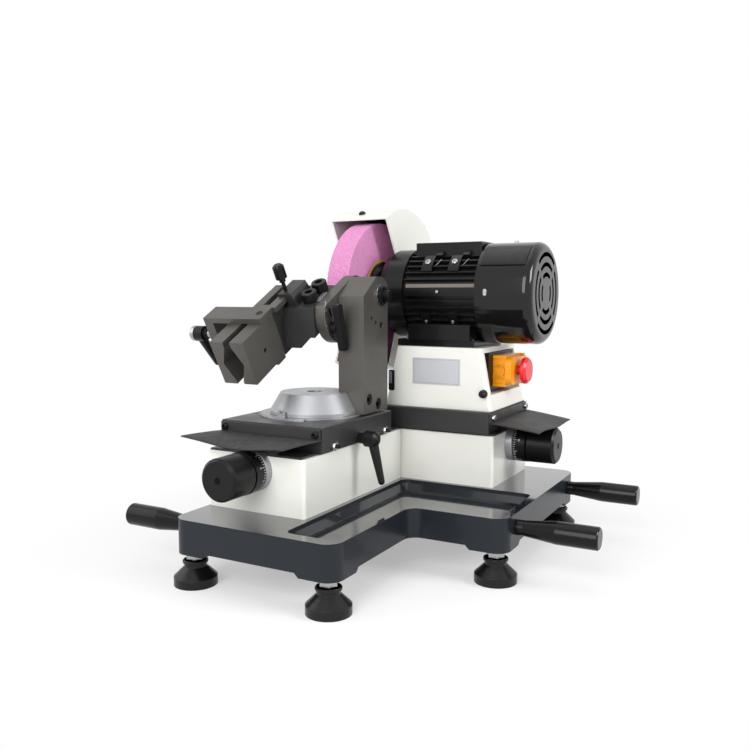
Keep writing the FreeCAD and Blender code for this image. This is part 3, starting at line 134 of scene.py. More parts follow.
def srgb(red, green, blue):
    """A linear colour from the screen values of a swatch."""
    def linear(value):
        value /= 255
        return value / 12.92 if value <= 0.04045 else ((value + 0.055) / 1.055) ** 2.4
    return (linear(red), linear(green), linear(blue))


def tint(name, description, red, green, blue):
    """A colour that can be set, from the screen values of its swatch."""
    return FloatVectorProperty(name=name, description=description, size=3, subtype="COLOR",
                               min=0.0, max=1.0, default=srgb(red, green, blue))


def extent(name, description, millimetres):
    """A length that can be set."""
    return FloatProperty(name=name, description=description, default=millimetres * MM,
                         min=0.0, unit="LENGTH")


class SharpenerColours(bpy.types.PropertyGroup):
    """Colours of the finishes."""

    slate: tint("Slate", "Enamel of the base casting", 29, 33, 39)
    cream: tint("Cream", "Enamel of pedestals, stand and guard", 238, 238, 231)
    black_enamel: tint("Black enamel", "Motor and wheel flanges", 17, 17, 18)
    blackened: tint("Blackened steel", "Column and drill holder", 96, 93, 89)
    # A darker steel for the holder block than for the rest of the head.
    oxide: tint("Dark holder steel", "Block of the drill holder", 52, 51, 52)
    slide: tint("Slide steel", "Slides, strips and ways", 60, 59, 60)
    bright: tint("Bright steel", "Studs, bush and screws", 182, 183, 185)
    aluminium: tint("Aluminium", "Swivel cone and scale ring", 176, 178, 181)
    bronze: tint("Bronze", "Feed nuts", 168, 128, 82)
    black_plastic: tint("Black plastic", "Knobs and levers", 13, 13, 14)
    rubber: tint("Rubber", "Flaps and feet", 38, 38, 40)
    abrasive: tint("Abrasive", "Grinding wheel", 222, 146, 196)
    yellow: tint("Yellow", "Switch housing and cover", 226, 144, 8)
    red: tint("Red", "Stop button", 205, 30, 38)
    green: tint("Green", "Start button", 30, 120, 60)
    blotter: tint("Blotter", "Paper washers beside the wheel", 216, 172, 40)
    # Painted shade: the dark purplish colour of the sheet inside the wheel guard.
    lining: tint("Guard painted shade", "Inside of the wheel guard", 44, 32, 38)
    casting: tint("Bare casting", "Dusty ledge along the motor", 104, 98, 90)
    dust: tint("Dust", "Grinding dust", 180, 176, 170)
    label: tint("Label", "Bare label plate", 212, 214, 219)
    mark: tint("Marks", "Graduations on the dials", 232, 232, 232)
    # Also painted shade in the knob holes and the arm's slot.
    ink: tint("Ink and shade", "Dark graduations, and painted shade in holes and slots", 8, 8, 8)


class SharpenerSizes(bpy.types.PropertyGroup):
    """Sizes of the fittings."""

    flap_thickness: extent("Flap thickness", "Rubber sheet of the flaps", 1.6)
    left_flap_length: extent("Left flap length", "From the strip to the free edge", 68)
    right_flap_length: extent("Right flap length", "From the strip to the free edge", 86)
    flap_width: extent("Flap width", "Across the slide", 176)
    flap_sag: extent("Flap sag", "Drop of the free edge", 8)
    flap_skew: extent("Flap skew", "How far the free edge has crept sideways", 19)
    flap_curl: extent("Flap curl", "How far one side lifts or droops", 9)
    dial_marks: IntProperty(name="Dial marks", description="Graduations round a dial",
                            default=50, min=10, max=200)
    tick_width: extent("Tick width", "Width of a dial graduation", 0.5)
    tick_height: extent("Tick height", "How far paint stands proud", 0.08)
    scale_margin: extent("Scale margin", "Swivel scale plate beyond its ring", 10.5)
    lip_radius: extent("Foot lip radius", "Lip round the top of a foot", 17.6)
    lip_height: extent("Foot lip height", "Lip round the top of a foot", 5)
    foot_spacing: extent("Foot spacing", "Least distance between two feet", 75)
    knob_socket: extent("Knob hole shade", "Radius of the dark disc of painted shade in a knob's hole", 5)
    clamp_cap: extent("Clamp cap", "Radius of the clamp lever's bright cap", 12.2)
    clamp_cap_length: extent("Clamp cap length", "Reach of the cap over the hub", 5.5)
    lock_cap: extent("Lock cap", "Radius of the lock lever's button", 6)
    lock_cap_reach: extent("Lock cap reach", "Button from the lock lever's pivot", 31)
    strip_screw: extent("Strip screw", "Head radius of the end strip screws", 5.2)
    gib_nut: extent("Gib nut", "Half width across the flats of a gib nut", 5.5)
    label_width: extent("Label width", "Bare plate on the stand", 84)
    label_height: extent("Label height", "Bare plate on the stand", 43)
    guard_radius: extent("Guard radius", "Outer radius of the wheel guard", 142)
    guard_wall: extent("Guard wall", "Sheet of the wheel guard", 2.5)
    blotter_radius: extent("Blotter radius", "Paper washer beside the wheel", 58)


# Shader nodes.

def feed(tree, node, inputs):
    """Gives a node's inputs, by name or number, a link or else a constant."""
    for label, value in inputs.items():
        socket = node.inputs[label.replace("_", " ") if isinstance(label, str) else label]
        if isinstance(value, bpy.types.NodeSocket):
            tree.links.new(value, socket)
        else:
            socket.default_value = value


def add_node(tree, kind, **inputs):
    node = tree.nodes.new(f"ShaderNode{kind}")
    feed(tree, node, inputs)
    return node


def math_node(tree, operation, *values, kind="Math", output="Value"):
    """Reckons with numbers, or with vectors where the kind says so."""
    node = add_node(tree, kind)
    node.operation = operation
    feed(tree, node, dict(enumerate(values)))
    return node.outputs[output]


def remap(tree, value, low, high, start=0.0, end=1.0):
    """Carries a value over from one range to another."""
    return add_node(tree, "MapRange", Value=value, From_Min=low, From_Max=high,
                    To_Min=start, To_Max=end).outputs["Result"]


def noise_node(tree, place, scale, detail, roughness):
    return add_node(tree, "TexNoise", Vector=place, Scale=scale, Detail=detail,
                    Roughness=roughness).outputs["Fac"]


def object_place(tree):
    return add_node(tree, "TexCoord").outputs["Object"]


def group_node(tree, name, **inputs):
    """Adds one of the shared groups and returns its outputs."""
    node = add_node(tree, "Group")
    node.node_tree = bpy.data.node_groups[name]
    feed(tree, node, inputs)
    return node.outputs


# Node groups shared by the finishes. Each takes its inputs and returns its outputs by name.

def edge_wear(tree, given):
    """Worn edges: a broken mask where faces meet, and the rounded normal there. On the metals the
    mask lightens the edges, partly as wear and partly as a painted highlight.
    """
    bevel = add_node(tree, "Bevel", Radius=given["Radius"])
    bevel.samples = 4
    rounded = bevel.outputs["Normal"]
    flat = add_node(tree, "NewGeometry").outputs["Normal"]
    alike = math_node(tree, "DOT_PRODUCT", rounded, flat, kind="VectorMath")
    edge = remap(tree, math_node(tree, "SUBTRACT", 1.0, alike), 0.02, 0.22)
    chips = noise_node(tree, object_place(tree), given["Break Up"], detail=5.0, roughness=0.65)
    wear_and_highlight = math_node(tree, "MULTIPLY", edge, remap(tree, chips, 0.42, 0.62))
    return {"Mask": math_node(tree, "MULTIPLY", wear_and_highlight, given["Amount"]), "Rounded": rounded}


def mottle(tree, given):
    """Broad, soft patches that vary a colour or a gloss."""
    patches = noise_node(tree, object_place(tree), given["Scale"], detail=5.0, roughness=0.6)
    centred = math_node(tree, "SUBTRACT", patches, 0.5)
    spread = math_node(tree, "MULTIPLY", centred, given["Contrast"])
    return {"Patches": math_node(tree, "ADD", spread, 0.5)}


def surface_peel(tree, given):
    """Orange peel of sprayed enamel or the texture of moulded parts."""
    height = noise_node(tree, object_place(tree), given["Scale"], detail=2.0, roughness=0.5)
    return {"Height": height}


def grinding_lines(tree, given):
    """Grinding lines: noise drawn out along one direction."""
    place = math_node(tree, "MULTIPLY", object_place(tree), given["Stretch"],
                      kind="VectorMath", output="Vector")
    return {"Lines": noise_node(tree, place, 1.0, detail=3.0, roughness=0.6)}


def upward_faces(tree, given):
    """Where a surface looks up."""
    normal = add_node(tree, "NewGeometry").outputs["Normal"]
    rise = add_node(tree, "SeparateXYZ", Vector=normal).outputs["Z"]
    return {"Mask": remap(tree, rise, given["From"], given["To"])}


def settled_dust(tree, given):
    """Fine grinding dust that settles on faces that look up."""
    cloud = noise_node(tree, object_place(tree), given["Scale"], detail=6.0, roughness=0.7)
    dust = math_node(tree, "MULTIPLY", group_node(tree, "Upward Faces")["Mask"],
                     remap(tree, cloud, 0.4, 0.75))
    return {"Mask": math_node(tree, "MULTIPLY", dust, given["Amount"])}


def bonded_grit(tree, given):
    """Bonded grains: cells of different lightness with pores between them."""
    cells = add_node(tree, "TexVoronoi", Vector=object_place(tree), Scale=given["Scale"])
    split = add_node(tree, "SeparateColor", Color=cells.outputs["Color"])
    return {"Grains": split.outputs["Red"], "Pores": cells.outputs["Distance"]}


GROUPS = (
    ("Edge Wear And Highlight", edge_wear, {"Radius": 0.0006, "Amount": 1.0, "Break Up": 90.0}),
    ("Mottle", mottle, {"Scale": 12.0, "Contrast": 1.0}),
    ("Surface Peel", surface_peel, {"Scale": 500.0}),
    ("Grinding Lines", grinding_lines, {"Stretch": (40.0, 900.0, 900.0)}),
    ("Upward Faces", upward_faces, {"From": 0.5, "To": 0.95}),
    ("Settled Dust", settled_dust, {"Amount": 0.3, "Scale": 60.0}),
    ("Bonded Grit", bonded_grit, {"Scale": 900.0}),
)


def make_group(name, build, inputs):
    """Makes a node group from its builder and the defaults of its inputs."""
    group = bpy.data.node_groups.new(name, "ShaderNodeTree")
    for label, default in inputs.items():
        kind = "NodeSocketVector" if isinstance(default, tuple) else "NodeSocketFloat"
        socket = group.interface.new_socket(label, in_out="INPUT", socket_type=kind)
        socket.default_value = default
    results = build(group, group.nodes.new("NodeGroupInput").outputs)
    for label, result in results.items():
        kind = "NodeSocketVector" if result.type == "VECTOR" else "NodeSocketFloat"
        group.interface.new_socket(label, in_out="OUTPUT", socket_type=kind)
    feed(group, group.nodes.new("NodeGroupOutput"), results)


class Finish:
    """One material: a Principled shader and the nodes that vary it."""

    # Sockets of a mix node that mixes colours.
    MIX_BASE, MIX_OTHER, MIX_RESULT = 6, 7, 2

    def __init__(self, name, colour, roughness, metallic=0.0, specular=0.5):
        self.material = bpy.data.materials.new(name)
        self.material.use_nodes = True
        self.tree = self.material.node_tree
        self.shader = self.tree.nodes["Principled BSDF"]
        self.colour = (*colour, 1.0)
        self.material.diffuse_color = self.colour
        self.set(Base_Color=self.colour, Roughness=roughness, Metallic=metallic,
                 Specular_IOR_Level=specular)

    def set(self, **inputs):
        feed(self.tree, self.shader, inputs)

    def group(self, name, **inputs):
        return group_node(self.tree, name, **inputs)

    def shade(self, mask, other):
        """Mixes another colour in where a mask is high, over the colour so far."""
        socket = self.shader.inputs["Base Color"]
        base = socket.links[0].from_socket if socket.is_linked else self.colour
        mix = add_node(self.tree, "Mix")
        mix.data_type = "RGBA"
        feed(self.tree, mix, {"Factor": mask, self.MIX_BASE: base, self.MIX_OTHER: (*other, 1.0)})
        self.set(Base_Color=mix.outputs[self.MIX_RESULT])

    def gloss(self, mask, roughness, least, most):
        """Varies the roughness between two shares of it."""
        self.set(Roughness=remap(self.tree, mask, 0.25, 0.75, roughness * least, roughness * most))

    def bump(self, height, distance, strength, **base):
        """Bumps the surface, over the normal that base may hold."""
        node = add_node(self.tree, "Bump", Height=height, Distance=distance, Strength=strength,
                        **base)
        self.set(Normal=node.outputs["Normal"])

    def on(self, *names):
        """Puts the finish on CAD nodes."""
        for name in names:
            data = frame["nodes"][name].data
            data.materials.clear()
            data.materials.append(self.material)


def scaled(colour, amount):
    return tuple(min(1.0, part * amount) for part in colour)


def enamel(name, colour, roughness, coat, peel, wear_and_highlight_amount, dust=None, edge=0.0008, specular=0.5):
    """Sprayed enamel with orange peel, softened edges and a little dust."""
    finish = Finish(name, colour, roughness, specular=specular)
    finish.set(Coat_Weight=coat, Coat_Roughness=0.05)
    patches = finish.group("Mottle", Scale=7.0, Contrast=0.9)["Patches"]
    finish.shade(patches, scaled(colour, 0.9))
    finish.gloss(patches, roughness, 0.8, 1.25)
    if dust:
        finish.shade(finish.group("Settled Dust", Amount=0.06)["Mask"], dust)
    wear_and_highlight = finish.group("Edge Wear And Highlight", Radius=edge, Amount=wear_and_highlight_amount)
    finish.shade(wear_and_highlight["Mask"], scaled(colour, 1.9 if sum(colour) < 1.0 else 0.72))
    height = finish.group("Surface Peel", Scale=peel)["Height"]
    finish.bump(height, distance=0.00012, strength=0.35, Normal=wear_and_highlight["Rounded"])
    return finish


def machined(name, colour, roughness, stretch, metallic=1.0, wear_and_highlight_amount=0.5):
    """Ground or turned metal with lines along one direction, and edges lightened: partly wear,
    partly a painted highlight.
    """
    finish = Finish(name, colour, roughness, metallic)
    lines = finish.group("Grinding Lines", Stretch=stretch)["Lines"]
    patches = finish.group("Mottle", Scale=16.0, Contrast=1.6)["Patches"]
    finish.shade(lines, scaled(colour, 0.8))
    finish.shade(patches, scaled(colour, 0.8))
    finish.gloss(patches, roughness, 0.85, 1.2)
    wear_and_highlight = finish.group("Edge Wear And Highlight", Radius=0.0005, Amount=wear_and_highlight_amount, Break_Up=140.0)
    # Painted highlight, with some wear: the metal's edges are lightened well above its colour.
    finish.shade(wear_and_highlight["Mask"], scaled(colour, 2.4))
    finish.bump(lines, distance=0.00004, strength=0.25, Normal=wear_and_highlight["Rounded"])
    return finish


def moulded(name, colour, roughness, grain, depth, dust=None, specular=0.5):
    """Moulded plastic or rubber with a fine skin texture."""
    finish = Finish(name, colour, roughness, specular=specular)
    patches = finish.group("Mottle", Scale=24.0, Contrast=0.8)["Patches"]
    finish.shade(patches, scaled(colour, 1.35))
    finish.gloss(patches, roughness, 0.85, 1.15)
    if dust:
        finish.shade(finish.group("Settled Dust", Amount=0.08, Scale=110.0)["Mask"], dust)
    wear_and_highlight = finish.group("Edge Wear And Highlight", Radius=0.0006, Amount=0.15)
    finish.shade(wear_and_highlight["Mask"], scaled(colour, 2.0))
    height = finish.group("Surface Peel", Scale=grain)["Height"]
    finish.bump(height, distance=depth, strength=0.5, Normal=wear_and_highlight["Rounded"])
    return finish


def bonded_abrasive(name, colour):
    """Pink alumina grains in a vitrified bond."""
    finish = Finish(name, colour, roughness=0.85)
    grit = finish.group("Bonded Grit", Scale=750.0)
    finish.shade(remap(finish.tree, grit["Grains"], 0.55, 1.0), scaled(colour, 1.35))
    finish.shade(remap(finish.tree, grit["Grains"], 0.4, 0.0), scaled(colour, 0.55))
    patches = finish.group("Mottle", Scale=18.0, Contrast=1.2)["Patches"]
    finish.shade(patches, scaled(colour, 0.86))
    finish.bump(grit["Pores"], distance=0.0006, strength=0.8)
    return finish


# Mesh helpers. Each adds a solid to a mesh, in the metres of a local matrix.

def ring(radius, height, count, corners=0):
    """An outline round a circle, or round a polygon with that many corners."""
    outline = []
    for index in range(count):
        angle = 2 * math.pi * index / count
        reach = radius
        if corners:
            step = 2 * math.pi / corners
            reach = radius / math.cos((angle % step) - step / 2)
        outline.append(polar(reach, angle, height))
    return outline


def loft(mesh, matrix, outlines, closed=False):
    """A solid through a row of outlines; a closed row meets its start again."""
    loops = [[mesh.verts.new(matrix @ Vector(spot)) for spot in outline] for outline in outlines]
    if closed:
        loops.append(loops[0])
    else:
        mesh.faces.new(list(reversed(loops[0])))
        mesh.faces.new(loops[-1])
    for first, second in zip(loops, loops[1:]):
        after = first[1:] + first[:1], second[1:] + second[:1]
        for corners in zip(first, after[0], after[1], second):
            mesh.faces.new(corners)


def lathe(mesh, matrix, profile, count=32):
    """A turned form from (radius, height) pairs; the ends are closed flat."""
    loft(mesh, matrix, [ring(radius, height, count) for radius, height in profile])


def socket_head(mesh, matrix, radius, height, socket, count=24):
    """A button or cap head with a hexagon socket."""
    outlines = [ring(radius * share, height * level, count)
                for share, level in ((1, 0), (1, 0.72), (0.9, 0.95), (0.82, 1))]
    outlines += [ring(socket, height * level, count, corners=6) for level in (1, 0.4)]
    loft(mesh, matrix, outlines)


def hexagon_nut(mesh, matrix, half_flats, height, bore, count=24):
    """A chamfered hexagon nut with its hole."""
    loft(mesh, matrix, [ring(bore, 0.0, count),
                        ring(half_flats, 0.0, count, corners=6),
                        ring(half_flats, height * 0.85, count, corners=6),
                        ring(half_flats * 0.96, height, count),
                        ring(bore, height, count)], closed=True)


def block(mesh, matrix, width, depth, height, edge=0.0):
    """A box standing on local z = 0 with its top edges chamfered."""
    levels = [(0.0, 0.0), (height - edge, 0.0)]
    if edge:
        levels.append((height, edge))
    outlines = []
    for level, inset in levels:
        x, y = width / 2 - inset, depth / 2 - inset
        outlines.append([(-x, -y, level), (x, -y, level), (x, y, level), (-x, y, level)])
    loft(mesh, matrix, outlines)


def rounded_plate(mesh, matrix, width, height, thickness, radius, steps=5):
    """A flat plate with round corners, its back on local z = 0."""
    outline = []
    for corner, (sx, sy) in enumerate(((1, 1), (-1, 1), (-1, -1), (1, -1))):
        for step in range(steps + 1):
            angle = math.pi / 2 * (corner + step / steps)
            outline.append((sx * (width / 2 - radius) + radius * math.cos(angle),
                            sy * (height / 2 - radius) + radius * math.sin(angle)))
    loft(mesh, matrix, [[(x, y, level) for x, y in outline] for level in (0.0, thickness)])


def sector(mesh, matrix, inner, outer, low, high, start, end, steps=16):
    """A solid sector of a ring between two angles in degrees, from height low to high."""
    outlines = []
    for step in range(steps + 1):
        angle = math.radians(start + (end - start) * step / steps)
        outlines.append([polar(reach, angle, height) for reach, height in (
            (inner, low), (outer, low), (outer, high), (inner, high))])
    loft(mesh, matrix, outlines)


def rod(mesh, first, second, radius, count=12):
    """A round bar between two points."""
    along = second - first
    lathe(mesh, facing(first, along), [(radius, 0.0), (radius, along.length)], count)


def sheet(mesh, rows):
    """An open sheet through rows of points."""
    grid = [[mesh.verts.new(spot) for spot in row] for row in rows]
    for first, second in zip(grid, grid[1:]):
        for corners in zip(first, first[1:], second[1:], second):
            mesh.faces.new(corners)


def add_piece(name, material, body, slot, *parts, smooth=True):
    """Makes an object from calls of the mesh helpers and lets it ride on a body."""
    mesh = bmesh.new()
    for build, *sizes in parts:
        build(mesh, *sizes)
    bmesh.ops.recalc_face_normals(mesh, faces=mesh.faces)
    data = bpy.data.meshes.new(name)
    mesh.to_mesh(data)
    mesh.free()
    piece = bpy.data.objects.new(name, data)
    bpy.context.scene.collection.objects.link(piece)
    data.materials.append(bpy.data.materials[material])
    if smooth:
        data.shade_smooth()
        data.set_sharp_from_angle(angle=SHARP_ANGLE)
    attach(piece, body)
    return piece


def thicken(piece, thickness):
    """Gives a sheet its thickness and returns the modifier."""
    shell = piece.modifiers.new("Thickness", "SOLIDIFY")
    shell.thickness = thickness
    return shell


# How fast the noise of grinding lines changes along x, y and z, per metre.
LEVEL_LINES = (60.0, 60.0, 1400.0)
CROSS_LINES = (1400.0, 60.0, 60.0)
UPRIGHT_LINES = (900.0, 900.0, 60.0)
LONG_LINES = (60.0, 900.0, 900.0)
TURNED_LINES = (60.0, 60.0, 1800.0)
LABEL_LINES = (40.0, 40.0, 1600.0)


class SHARPENER_OT_finishes(bpy.types.Operator):
    """Build the finishes and put them on the machine's solids"""

    bl_idname = "sharpener.finishes"
    bl_label = "Finishes"

    def execute(self, context):
        colours = context.scene.sharpener_colours
        for group in GROUPS:
            make_group(*group)
        self.paints(colours)
        self.metals(colours)
        self.plastics(colours)
        bonded_abrasive("Pink Abrasive", colours.abrasive).on("grinding_wheel")
        return {"FINISHED"}

    @staticmethod
    def paints(colours):
        slate = enamel("Slate Enamel", colours.slate, roughness=0.3, coat=0.3, peel=260.0, wear_and_highlight_amount=0.3,
                       edge=0.0016, specular=0.2)
        upward = slate.group("Upward Faces")["Mask"]
        slate.set(Coat_Weight=remap(slate.tree, upward, 0.0, 1.0, 0.12, 1.0),
                  Roughness=remap(slate.tree, upward, 0.0, 1.0, 0.32, 0.12))
        slate.on("base_casting")
        enamel("Cream Enamel", colours.cream, roughness=0.34, coat=0.35, peel=380.0, wear_and_highlight_amount=0.1).on(
            "left_pedestal", "right_pedestal", "motor_stand", "wheel_guard")
        black = colours.black_enamel
        enamel("Black Enamel", black, roughness=0.22, coat=0.08, peel=620.0, wear_and_highlight_amount=0.3,
               dust=colours.dust, specular=0.22).on(
            "motor_plate", "motor_frame", "motor_end_shield", "wheel_flanges")
        enamel("Gloss Black Enamel", black, roughness=0.1, coat=0.25, peel=480.0, wear_and_highlight_amount=0.25,
               specular=0.25).on("fan_cover")
        # Painted shade: the finish of the dark sheet inside the wheel guard.
        enamel("Guard Painted Shade", colours.lining, roughness=0.6, coat=0.0, peel=300.0, wear_and_highlight_amount=0.2,
               specular=0.3)

    @staticmethod
    def metals(colours):
        machined("Blackened Steel", colours.blackened, 0.42, LEVEL_LINES, metallic=0.55).on(
            "column", "swing_arm", "fixed_jaw", "moving_jaw", "jaw_yoke", "guide_rail")
        # A darker, less metallic copy of the blackened steel, on the holder block alone.
        machined("Dark Holder Steel", colours.oxide, 0.45, LEVEL_LINES, metallic=0.4, wear_and_highlight_amount=0.6).on(
            "holder_block")
        machined("Slide Steel", colours.slide, 0.38, CROSS_LINES, metallic=0.45, wear_and_highlight_amount=0.4).on(
            "left_slide", "right_slide", "left_end_strip", "right_end_strip", "way_plates")
        machined("Bright Steel", colours.bright, 0.24, UPRIGHT_LINES).on(
            "foot_studs", "pivot_bush", "clamp_screw", "motor_shaft", "motor_bearings",
            "spindle_nut")
        machined("Ground Steel", scaled(colours.bright, 0.6), 0.32, LONG_LINES).on(
            "left_leadscrew", "right_leadscrew", "stator_core", "rotor_core")
        machined("Satin Aluminium", colours.aluminium, 0.36, TURNED_LINES, metallic=0.75,
                 wear_and_highlight_amount=0.3).on("swivel_cone", "swivel_scale_ring", "knob_flanges")
        machined("Bronze", colours.bronze, 0.35, LONG_LINES).on("left_feed_nut", "right_feed_nut")
        machined("Label Plate", colours.label, 0.38, LABEL_LINES, metallic=0.35, wear_and_highlight_amount=0.1)

    @staticmethod
    def plastics(colours):
        black = colours.black_plastic
        moulded("Black Plastic", black, 0.34, grain=1500.0, depth=0.00006, specular=0.22).on(
            "left_knob", "right_knob", "left_dial", "right_dial", "switch_back_box", "cable_gland",
            "cooling_fan", "lug_lever", "left_lock_lever", "clamp_lever", "pivot_shaft",
            "holder_cap_screws", "head_bolts")
        moulded("Gloss Black Plastic", black, 0.2, grain=700.0, depth=0.00003, specular=0.2).on(
            "lift_grips", "thumb_screw")
        moulded("Foot Rubber", black, 0.3, grain=900.0, depth=0.00008, specular=0.3).on("foot_pads")
        moulded("Black Rubber", colours.rubber, 0.6, grain=1300.0, depth=0.0001, dust=colours.dust,
                specular=0.35)
        moulded("Bare Casting", colours.casting, 0.8, grain=400.0, depth=0.0004, dust=colours.dust)
        moulded("Yellow Plastic", colours.yellow, 0.32, grain=900.0, depth=0.00004).on(
            "switch_housing", "switch_flap")
        moulded("Red Plastic", colours.red, 0.28, grain=900.0, depth=0.00003).on("stop_button")
        moulded("Green Plastic", colours.green, 0.3, grain=900.0, depth=0.00003).on("start_button")
        moulded("White Paint", colours.mark, 0.5, grain=900.0, depth=0.00002)
        # Black print for the marks; the same finish paints the shade in the knob holes and the
        # arm's slot.
        moulded("Black Print And Shade", colours.ink, 0.7, grain=900.0, depth=0.00002, specular=0.08)
        moulded("Blotter Paper", colours.blotter, 0.85, grain=500.0, depth=0.0001)


class SHARPENER_OT_flaps(bpy.types.Operator):
    """Hang the rubber flaps under the end strips of both slides"""

    bl_idname = "sharpener.flaps"
    bl_label = "Rubber Flaps"

    COLUMNS, ROWS = 36, 16
    GAP = 0.1 * MM
    # The sag grows by a power along the flap and is less at the sides; a ripple runs across.
    SAG_POWER, SAG_CROWN = 1.4, 0.3
    RIPPLE, RIPPLE_RATE, RIPPLE_START = 1.6 * MM, 4.2, 1.0
    # Shares of the curl: the right flap droops at one side and the left flap lifts.
    DROOP, LIFT = 0.5, 0.7

    def execute(self, context):
        sizes = context.scene.sharpener_sizes
        for side, (out, across) in SIDES.items():
            length = getattr(sizes, f"{side}_flap_length")
            start = face_of(f"{side}_flap", -out)
            start.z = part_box(f"{side}_flap")[1].z - sizes.flap_thickness / 2 - self.GAP
            rows = []
            for row in range(self.ROWS + 1):
                along = row / self.ROWS
                line = []
                for column in range(self.COLUMNS + 1):
                    share = column / self.COLUMNS * 2 - 1
                    spot = start + across * (share * sizes.flap_width / 2 - sizes.flap_skew * along)
                    spot += out * length * along
                    spot.z -= self.drop(sizes, side, along, share)
                    line.append(spot)
                rows.append(line)
            piece = add_piece(f"{side}_rubber_flap", "Black Rubber", f"{side}_slide",
                              "black_rubber", (sheet, rows))
            thicken(piece, sizes.flap_thickness).offset = 0.0
            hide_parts(f"{side}_flap")
        return {"FINISHED"}

    def drop(self, sizes, side, along, share):
        """How far a flap hangs, at a share along it and one from -1 to 1 across it."""
        drop = sizes.flap_sag * along ** self.SAG_POWER * (1 - self.SAG_CROWN * share * share)
        drop += self.RIPPLE * math.sin(share * self.RIPPLE_RATE + self.RIPPLE_START) * along
        if side == "right":
            return drop + sizes.flap_curl * along * max(share, 0.0) * self.DROOP
        return drop - sizes.flap_curl * along * max(-share, 0.0) ** 2 * self.LIFT


class SHARPENER_OT_dials(bpy.types.Operator):
    """Mark the feed dials with graduations and numbers"""

    bl_idname = "sharpener.dials"
    bl_label = "Dial Graduations"

    TURN = math.radians(18)
    # Ticks run up the dial from a start; every fifth is long and every tenth has a number.
    TICK_START, SHORT_TICK, LONG_TICK, TICK_DEPTH = mm(0.6, 4.5, 7.5, 0.3)
    LONG_EVERY, NUMBER_EVERY = 5, 10
    NUMBER_START, NUMBER_SIZE = mm(9, 4.2)

    def execute(self, context):
        sizes = context.scene.sharpener_sizes
        for side, (out, _) in SIDES.items():
            low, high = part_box(f"{side}_dial")
            matrix = facing(face_of(f"{side}_dial", -out), out, self.TURN)
            add_piece(f"{side}_dial_marks", "White Paint", f"{side}_feed", "satin_aluminium",
                      (self.marks, sizes, matrix, (high.z - low.z) / 2), smooth=False)
        return {"FINISHED"}

    def marks(self, mesh, sizes, matrix, radius):
        half = sizes.tick_width / radius / 2
        proud = radius + sizes.tick_height
        for index in range(sizes.dial_marks):
            angle = 2 * math.pi * index / sizes.dial_marks
            end = self.SHORT_TICK if index % self.LONG_EVERY else self.LONG_TICK
            edges = ((angle - half, self.TICK_START), (angle + half, self.TICK_START),
                     (angle + half, end), (angle - half, end))
            loft(mesh, matrix, [[polar(reach, turn, height) for turn, height in edges]
                                for reach in (radius - self.TICK_DEPTH, proud)])
        for index in range(0, sizes.dial_marks, self.NUMBER_EVERY):
            angle = 2 * math.pi * index / sizes.dial_marks
            self.number(mesh, str(index), matrix, angle, radius, proud)

    def number(self, mesh, text, matrix, angle, radius, proud):
        """Draws a number as flat faces wrapped round the dial."""
        curve = bpy.data.curves.new("numeral", "FONT")
        curve.body = text
        curve.size = self.NUMBER_SIZE
        curve.align_x = "CENTER"
        curve.resolution_u = 2
        holder = bpy.data.objects.new("numeral", curve)
        flat = bpy.data.meshes.new_from_object(holder)
        corners = []
        for vert in flat.vertices:
            spot = polar(proud, angle + vert.co.x / radius, self.NUMBER_START + vert.co.y)
            corners.append(mesh.verts.new(matrix @ Vector(spot)))
        for polygon in flat.polygons:
            mesh.faces.new([corners[index] for index in polygon.vertices])
        bpy.data.objects.remove(holder)
        bpy.data.curves.remove(curve)
        bpy.data.meshes.remove(flat)


class SHARPENER_OT_feet_and_sockets(bpy.types.Operator):
    """Add the lips of the feet and a dark disc of painted shade in the hole of each feed knob"""

    bl_idname = "sharpener.feet_and_sockets"
    bl_label = "Feet and Knob Hole Shade"

    # A lip's profile: how far each point lies inside its radius, and its height.
    LIP_FOOT = (mm(2.4, 0), mm(0.4, 0.6), mm(0, 1.6))
    LIP_ROUND = 1.0 * MM
    # A knob's hole is painted shade: a dark disc from just behind the knob's end to just proud of
    # it.
    SOCKET_BACK, SOCKET_FRONT = mm(-0.2, 0.05)
    LIP_SIDES, SOCKET_SIDES = 40, 24

    def execute(self, context):
        sizes = context.scene.sharpener_sizes
        radius, height = sizes.lip_radius, sizes.lip_height
        profile = [(radius - inset, level) for inset, level in self.LIP_FOOT]
        profile += [(radius, height - self.LIP_ROUND), (radius - self.LIP_ROUND, height)]
        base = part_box("foot_pads")[1].z - height
        add_piece("foot_lips", "Foot Rubber", "frame", "black_rubber",
                  *[(lathe, Matrix.Translation((x, y, base)), profile, self.LIP_SIDES)
                    for x, y in self.centres(sizes)])
        # Painted shade: a flat dark disc where each knob has its hole.
        socket = [(sizes.knob_socket, level) for level in (self.SOCKET_BACK, self.SOCKET_FRONT)]
        for side, (out, _) in SIDES.items():
            matrix = facing(face_of(f"{side}_knob", out), out)
            add_piece(f"{side}_knob_socket", "Black Print And Shade", f"{side}_feed", "black_paint",
                      (lathe, matrix, socket, self.SOCKET_SIDES), smooth=False)
        return {"FINISHED"}

    @staticmethod
    def centres(sizes):
        """The middles of the pads, from the corners of their solids."""
        pads = frame["nodes"]["foot_pads"]
        groups = []
        for vert in pads.data.vertices:
            spot = pads.matrix_world @ vert.co
            for group in groups:
                if (group[0] - spot).length < sizes.foot_spacing:
                    group.append(spot)
                    break
            else:
                groups.append([spot])
        return [[(min(line) + max(line)) / 2 for line in list(zip(*group))[:2]] for group in groups]


